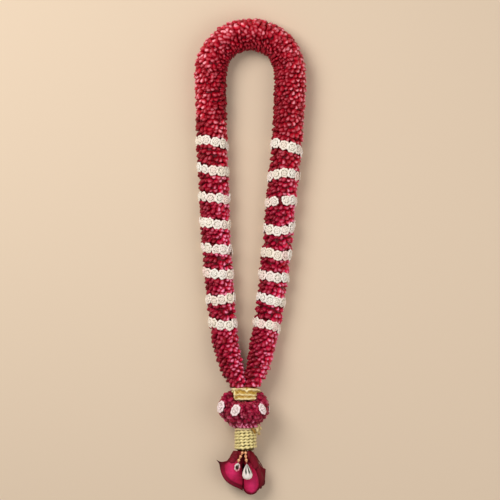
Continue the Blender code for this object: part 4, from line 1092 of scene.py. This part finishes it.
# the petals that show from above lie between drawn edges: left, far and right, with arch, light (painted
# light and shade), the place of the painted highlight (share across and along) and, for one, a withered tip
drawnPetals = {
    "left": [
        ([(-28, -391, 44), (-38, -401, 46), (-48, -407, 44), (-58, -408.6, 40), (-67.4, -405, 37)],
         [(-67.4, -405, 37), (-62, -412.4, 34), (-59.6, -424, 32), (-56, -436, 32), (-48, -448, 33),
          (-36, -456.6, 34), (-24, -462, 32), (-14.2, -467.6, 28)],
         [(-22, -391, 44), (-18, -414, 45), (-14, -440, 41), (-14.2, -467.6, 28)], 6, 0.22, (0.55, 0.75),
         True),
        ([(-30, -399, 45), (-39, -405.5, 47.5), (-46, -410, 47.5), (-51, -414, 45.5)],
         [(-51, -414, 45.5), (-51, -424, 45.5), (-47.5, -436, 45.5), (-39.5, -445.5, 45), (-28, -452, 43),
          (-14.6, -457, 38)],
         [(-24, -397, 44), (-18, -414, 44.5), (-14, -436, 42), (-14.6, -457, 38)], 6, 0.92, (0.46, 0.66)),
        ([(-34, -388, 40), (-39.5, -397, 42), (-42.5, -407, 44)],
         [(-42.5, -407, 44), (-37, -410.5, 47.5), (-30, -409, 50)],
         [(-24, -386.6, 45), (-26, -398, 49.5), (-30, -409, 50)], 2, 0.05, (0.5, 0.8)),
        ([(-33, -386.6, 34), (-35, -391, 40), (-33.5, -398, 46)],
         [(-33.5, -398, 46), (-28, -402.5, 50), (-22, -400, 50.5)],
         [(-17, -386.6, 44), (-19, -393, 49), (-22, -400, 50.5)], 1.5, 0.02, (0.5, 0.8)),
        ([(-24, -386.6, 40), (-22, -400, 42), (-18, -413, 42)],
         [(-18, -413, 42), (-15.5, -416, 40), (-13.2, -412, 38)],
         [(-13.2, -386.6, 37), (-13.2, -400, 39), (-13.2, -412, 38)], 2, 0.03, (0.5, 0.5)),
    ],
    "right": [
        ([(4, -391, 43), (7, -418, 44), (8, -447, 41), (3, -470, 34)],
         [(3, -470, 34), (15, -465.4, 33), (24, -457.6, 32), (29.2, -447.4, 31), (30.6, -436, 30.5),
          (31.6, -424, 33)],
         [(6, -388, 41), (14, -402, 42), (19.5, -414, 39), (25, -420, 36), (31.6, -424, 33)], 6, 0.05,
         (0.4, 0.6)),
        ([(-8, -410, 38), (-11, -430, 38), (-12.7, -450, 35), (-12.6, -467, 30)],
         [(-12.6, -467, 30), (-6, -473.6, 29), (2, -475.6, 28), (11, -472.6, 28.5), (18, -464, 30)],
         [(0, -410, 38), (11, -426, 40), (16, -446, 38), (18, -464, 30)], 5, 0.2, (0.5, 0.7)),
        ([(-8, -402, 42), (-11, -424, 42), (-12.7, -445, 41), (-12.2, -461, 37)],
         [(-12.2, -461, 37), (-7.5, -468, 36.5), (-1, -470.4, 37), (4, -472, 36), (12, -467.6, 36),
          (18, -457, 38)],
         [(0, -402, 43), (9.5, -421, 45), (16.4, -440, 44.5), (18, -457, 38)], 4.5, 0.95, (0.55, 0.8)),
        ([(-4, -387, 48), (-3, -397, 51), (1, -409, 51), (5.5, -420, 50)],
         [(5.5, -420, 50), (11.5, -423, 48), (17.4, -417.5, 44)],
         [(3, -386.6, 44), (9.5, -395, 46), (14.4, -406, 45.5), (17.4, -417.5, 44)], 2, 0.05, (0.5, 0.8)),
        ([(-12.8, -386.6, 37), (-12.8, -400, 39), (-12.8, -411, 38)],
         [(-12.8, -411, 38), (-9, -416, 40), (-4, -413, 42)],
         [(0, -386.6, 40), (0, -400, 42), (-4, -413, 42)], 2, 0.03, (0.5, 0.5)),
    ],
}
blades = {"left": [], "right": []}   # the drawn petals' surfaces, which the other blades keep clear of


def roseFrame(rose):
    # where the middle line starts, the way along it, and the ways up and aside square to it
    start, end = np.array(rose["start"], float), np.array(rose["end"], float)
    along = unit(end - start)
    side = unit(np.cross(along, [0, 0, 1]))
    return start, along, np.cross(side, along), side


def bladeShell(piece, surface, thickness, shade, places):
    # an outer and an inner sheet, half the thickness to each side, joined by a strip along the border
    rows, columns = surface.shape[:2]
    normal = unit(np.cross(np.gradient(surface, axis=0), np.gradient(surface, axis=1)))
    thin = np.sqrt(np.clip(1 - np.abs(np.linspace(-1, 1, columns)) ** 6, 0.04, 1))
    half = 0.5 * thickness * thin[:, None] * np.linspace(1, 0.5, rows)[:, None, None]
    size = rows * columns
    grid = np.arange(size).reshape(rows, columns)
    quads = np.stack([grid[:-1, :-1], grid[:-1, 1:], grid[1:, 1:], grid[1:, :-1]], axis=-1).reshape(-1, 4)
    border = np.concatenate([grid[0, :-1], grid[:-1, -1], grid[-1, :0:-1], grid[:0:-1, 0]])
    after = np.roll(border, -1)
    strip = np.stack([after, border, border + size, after + size], axis=-1)
    faces = np.vstack([quads, quads[:, ::-1] + size, strip])
    points = np.concatenate([surface + normal * half, surface - normal * half]).reshape(-1, 3)
    local = points - points.mean(axis=0)
    a, b, c, d = (local[faces[:, k]] for k in range(4))
    if np.sum(a * np.cross(b, c)) + np.sum(a * np.cross(c, d)) < 0:   # negative volume: turn the faces
        faces = faces[:, ::-1]
    piece["quads"].append(faces + piece["count"])
    # the under sheet is painted darker, as shade
    addPoints(piece, points, np.concatenate([shade, shade * 0.8]), np.concatenate([places, places]))


def spaced(surface, others, clear):
    # moved up (clear above 0) or down to keep that far from the other blades' points nearby in plan view
    near, far = roses["spacing"]
    most, way = (np.max, 1) if clear > 0 else (np.min, -1)
    for other in others:
        spots = other.reshape(-1, 3)
        apart = np.linalg.norm(surface[:, :, None, :2] - spots[None, None, :, :2], axis=3)
        level = most(np.where(apart < far, spots[:, 2], -1000.0 * way), axis=2) + clear
        held = most([surface[..., 2], level], axis=0)
        surface[..., 2] += (held - surface[..., 2]) * (1 - ease((apart.min(axis=2) - near) / (far - near)))
    return surface


def petalShade(paintedLight, light, rim):
    # dark to body to bright as light and the painted highlight grow, and the edge colour over the rim as
    # painted shade under the rolled edge
    shade = blendColours(roses["dark"], roses["body"], ease(0.15 + 0.5 * light + 0.7 * paintedLight) * light ** 0.7)
    shade = blendColours(shade, roses["bright"], paintedLight * light)
    return blendColours(shade, roses["edge"], 0.6 * np.clip(rim, 0, 1) ** 1.5)


def petalPlaces(u, v):
    # the veins' coordinates: u across the petal and half of v along it
    return np.stack(np.broadcast_arrays(u, v * 0.5, 0 * u * v), axis=-1)


def rosePetal(piece, rose, lids, petal, phase, back=0.0, heel=None):
    # reach out from the middle line grows as a quarter sine, then flares or closes; the width falls to
    # nothing at the far edge as the root of 1 - v^5, which rounds it off
    turn, length, width, spread, flare, light, swell = petal
    start, along, up, side = roseFrame(rose)
    v = 0.03 + 0.97 * np.sin(np.linspace(0, math.pi / 2, roses["rows"]))[:, None]
    u = np.linspace(-1, 1, roses["columns"])[None]
    heel = heel or roses["heel"]
    opening = np.clip((v - 0.45) / 0.55, 0, 1) ** 2
    reach = heel + (width - heel) * np.sin(math.pi / 2 * np.minimum(1, v / swell))
    reach = reach + flare * opening - (2.5 * opening if flare < 1.5 else 0)
    rollFar = np.clip((v - 0.86) / 0.14, 0, 1) ** 2
    rollSide = np.clip((np.abs(u) - 0.72) / 0.28, 0, 1) ** 2 * ease(v * 1.6)
    full = np.sqrt(np.clip(1 - v ** 5, 0, 1))
    ruffle = 0.5 * np.sin(4 * u + phase) * v ** 2
    reach = reach + 1.3 * rollFar + (1.5 * u * v ** 0.5 + 1.1 * rollSide + ruffle) * full
    dist = 1 + (length - 1) * v - 0.8 * flare * opening - 1.0 * rollFar - back * (1 - 0.25 * v)
    fan = (0.85 + 0.15 * np.sin(math.pi * v)) * full + 0.004
    angle = np.radians(turn + spread * u * fan)
    surface = start + along * dist[..., None] + reach[..., None] * circle(angle, up, side)
    # a painted highlight down the middle of each petal, and painted shade along its rim
    paintedLight = np.exp(-np.abs(u / 0.66) ** 3) * ease((v - 0.1) / 0.5) * (1 - 0.6 * rollFar)
    paintedLight = paintedLight * (0.88 + 0.12 * np.sin(3 * u + phase))
    rim = np.maximum((np.abs(u) - 0.9) / 0.1, (v - 0.95) / 0.05)
    bladeShell(piece, spaced(surface, lids, -roses["lidGap"]), roses["thickness"],
               petalShade(paintedLight, light, rim), petalPlaces(u, v))


def evenly(knots, count):
    # points at even lengths along the curve through the knots
    path = smoothPath(knots, 8)
    run = runAlong(path)
    wanted = np.linspace(0, run[-1], count)
    return np.stack([np.interp(wanted, run, path[:, k]) for k in range(3)], axis=-1)


def drawnPetal(piece, lids, left, far, right, arch, light, paintedLightAt, withered=False):
    # patch between four curves: near and far blended, plus left and right blended, less the corners' blend
    rows, columns = roses["rows"], roses["columns"]
    v, u = np.linspace(0, 1, rows)[:, None], np.linspace(0, 1, columns)[None]
    down, over = v[..., None], u[..., None]
    left, right, far = evenly(left, rows)[:, None], evenly(right, rows)[:, None], evenly(far, columns)[None]
    near = between(left[:1], right[:1], over)
    corners = between(near, between(far[:, :1], far[:, -1:], over), down)
    surface = between(near, far, down) + between(left, right, over) - corners
    rise = np.sin(math.pi * u) ** 0.8 * np.sin(math.pi * (0.06 + 0.9 * v))
    sides = np.abs(2 * u - 1)
    edge = np.clip((sides - 0.8) / 0.2, 0, 1) ** 2 * v + np.clip((v - 0.88) / 0.12, 0, 1) ** 2
    fine = 0.35 * np.sin(9 * u + 5 * v) * v
    for turns, lean, deep in roses["creases"]:   # long creases that run out to the far edge
        fine = fine - deep * bell(np.sin(math.pi * turns * (u + lean * (v - 0.5))) / 0.22) * v ** 1.5
    surface[..., 2] += arch * rise + edge + fine
    surface = spaced(surface, lids, roses["lidGap"])
    lids.append(surface)
    # a painted highlight at the given place, and painted shade along the rim
    paintedLight = np.exp(-((u - paintedLightAt[0]) / 0.36) ** 2 - ((v - paintedLightAt[1]) / 0.34) ** 2)
    rim = np.maximum((sides - 0.86) / 0.14, (v - 0.92) / 0.08)
    # the creases are painted darker as shade and the ripples lighter as painted light
    shade = petalShade(paintedLight, light, rim) * (1 + 0.12 * np.clip(fine, -1, 0.5))[..., None]
    if withered:
        shade = blendColours(shade, roses["dry"], 0.85 * ease((v - u - 0.62) / 0.3))
    bladeShell(piece, surface, roses["thickness"], shade, petalPlaces(2 * u - 1, v))


def makeRose(name, hold, phase):
    # bud radius = outline of the share along it, times 1 + 0.08 cos(5 turn + 5 share)
    rose = roses[name]
    start, along, up, side = roseFrame(rose)
    piece = newPiece()
    # closed bud inside, painted dark as shade, twisted as its share along goes on
    share = np.linspace(0.0, 0.84, 14)[:, None]
    turns = turnsOf(20)
    wide = np.interp(share, *zip(*roses["bud"])) * (1 + 0.08 * np.cos(5 * turns + 5 * share))
    rings = start + along * (share * 62)[..., None] + wide[..., None] * circle(turns, up, side)
    addShells(piece, rings[None], start[None], (start + along * 54)[None], roses["dark"])
    lids = blades[name]
    for petal in drawnPetals[name]:
        drawnPetal(piece, lids, *petal)
    for number, petal in enumerate(rose["petals"]):
        rosePetal(piece, rose, lids, petal, 1.7 * number + phase)
    # short guard petals, painted dark as shade, fill the throat below the collar
    length, width, *rest = roses["guard"]
    for number, (turn, inner) in enumerate(rose["guards"]):
        petal = (turn, length - 3 * inner, width - 1.6 * inner, *rest)
        rosePetal(piece, rose, lids, petal, 2.3 * number + phase, roses["guardBack"], roses["guardHeel"])
    for points in piece["points"]:
        points[:, 0] = hold(points[:, 0], roses["seam"][name])
        points[:, 1] = np.minimum(points[:, 1], roses["stemTop"] - 0.1)
        points[:, 2] = np.maximum(points[:, 2], lowest)
    if name == "right":   # one dark petal lies across below the seam
        drawnPetal(piece, [], *roses["seamPetal"])
    finishPiece(f"bloom_{name}", piece, roseFinish, f"rose_{name}")


makeRose("left", np.minimum, 0)
makeRose("right", np.maximum, 2)


sepals = {
    # turn and size of each sepal
    "left": [(15, 1), (92, 0.94), (158, 1.04), (233, 0.5), (309, 0.53)],
    "right": [(51, 0.5), (128, 0.53), (201, 1), (266, 0.94), (338, 1.04)],
    "path": [(6, -8), (11, -3), (15, 4), (19, 11), (22.5, 18), (24.5, 25)], "thickness": 1.0, "gap": 1.6,
    "stem": [(0, 3.3), (0.5, 3.5), (0.75, 5.6), (1, 5.6)],
    "brown": paint(78, 24, 12), "red": paint(104, 14, 18),
}


def makeSepals(name):
    # middle line carried from the path, widened by 4.6 sin(pi (0.3 + 0.69 share))^0.9 and cupped by 1.4 u^2
    start, along, up, side = roseFrame(roses[name])
    piece = newPiece()
    back = (start[1] - roses["stemTop"]) / along[1]
    path = smoothPath([start - along * b for b in (back, 7, 3.5, 0.3)], 6)
    wide = np.interp(np.linspace(0, 1, len(path)), *zip(*sepals["stem"]))
    addTube(piece, path, wide, 16, sepals["brown"])
    out, ahead = smoothPath(sepals["path"], 6).T
    u = np.linspace(-1, 1, 9)
    for turn, size in sepals[name]:
        away = circle(np.radians(turn), up, side)
        across = np.cross(away, along)
        onward = np.where(ahead < 0, ahead, ahead * size)
        middle = start + along * onward[:, None] + away * (3 + (out - 3) * size)[:, None]
        wide = 4.6 * np.sin(math.pi * (0.3 + 0.69 * np.linspace(0, 1, len(middle)))) ** 0.9 + 0.08
        surface = middle[:, None] + (wide[:, None] * u)[..., None] * across - (1.4 * u * u)[:, None] * away
        surface = spaced(surface, blades[name], -sepals["gap"])
        shade = blendColours(sepals["brown"], sepals["red"], np.broadcast_to(np.abs(u), surface.shape[:2]))
        bladeShell(piece, surface, sepals["thickness"], shade, np.zeros(surface.shape))
    finishPiece(f"sepals_{name}", piece, sepalFinish, f"calyx_{name}")


for side in ("left", "right"):
    makeSepals(side)
print("roses and sepals ready")


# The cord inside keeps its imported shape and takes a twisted-thread finish

thread = {"roughness": 0.85, "plyScale": 160.0, "distortion": 1.5,
          "dark": paint(150, 132, 96), "pale": paint(214, 198, 164)}


def cordFinish():
    # sloping bands of two thread colours, raised by the same bands
    made, tree, shader = newMaterial("cordThread")
    coords = addNode(tree, "TexCoord", "Object", {})
    plies = addNode(tree, "TexWave", "Fac", {"Vector": coords, "Scale": thread["plyScale"],
                                             "Distortion": thread["distortion"]}, bands_direction="DIAGONAL")
    colour = addNode(tree, "ValToRGB", "Color", {"Fac": plies})
    for element, key in zip(colour.node.color_ramp.elements, ("dark", "pale")):
        element.color = (*thread[key], 1)
    raised = addNode(tree, "Bump", "Normal", {"Distance": finishing["bumpDepth"] * mm, "Height": plies})
    setInputs(tree, shader, {"Base Color": colour, "Roughness": thread["roughness"], "Normal": raised})
    return made


cord = bpy.data.objects["garland_cord"]
cord.data.materials.clear()
cord.data.materials.append(cordFinish())


# Floor, light and camera, in metres

studio = {
    "floorColour": paint(226, 206, 182), "floorSize": 8.0, "cameraHeight": 6.0, "frameWidth": 1.0,
    "planeHeight": 0.03, "frameCentre": (-0.0007, 0.0127), "sensor": 36,
    "skyColour": (1.0, 0.96, 0.92), "skyStrength": 0.34, "aim": (0, 0, 0.03),
    # each lamp's place, size, power and colour
    "lamps": {"key": ((-1.1, 1.0, 1.9), 1.3, 38, (1.0, 0.97, 0.93)),
              "fill": ((1.4, -0.3, 1.8), 1.8, 15, (1.0, 0.96, 0.94))},
}


def setFloor():
    # a square about the origin at height 0
    half = studio["floorSize"] / 2
    corners = [(-half, -half, 0), (half, -half, 0), (half, half, 0), (-half, half, 0)]
    mesh = bpy.data.meshes.new("floor")
    mesh.from_pydata(corners, [], [(0, 1, 2, 3)])
    plain, tree, shader = newMaterial("plainFloor")
    setInputs(tree, shader, {"Base Color": (*studio["floorColour"], 1), "Roughness": 0.9,
                             "Specular IOR Level": 0.2})
    mesh.materials.append(plain)
    newObject("floor", mesh)


def setLight():
    # each lamp is turned so that it looks from its place at the aim
    bpy.context.scene.view_settings.view_transform = "Standard"
    world = bpy.data.worlds.new("studio")
    bpy.context.scene.world = world
    world.use_nodes = True
    sky = world.node_tree.nodes["Background"]
    sky.inputs["Color"].default_value = (*studio["skyColour"], 1)
    sky.inputs["Strength"].default_value = studio["skyStrength"]
    for name, (spot, size, power, colour) in studio["lamps"].items():
        lamp = bpy.data.lights.new(name, "AREA")
        lamp.size, lamp.energy, lamp.color = size, power, colour
        made = newObject(name, lamp)
        x, y, z = np.array(studio["aim"]) - np.array(spot)
        made.location = spot
        made.rotation_euler = (math.atan2(math.hypot(x, y), -z), 0, math.atan2(y, x) - math.pi / 2)


def setCamera():
    # focal length = sensor * height over the garland's middle / width of the view there
    view = bpy.data.cameras.new("camera")
    view.sensor_width = studio["sensor"]
    view.lens = studio["sensor"] * (studio["cameraHeight"] - studio["planeHeight"]) / studio["frameWidth"]
    view.clip_end = 50
    camera = newObject("camera", view)
    camera.location = (*studio["frameCentre"], studio["cameraHeight"])
    bpy.context.scene.camera = camera


setFloor()
setLight()
setCamera()
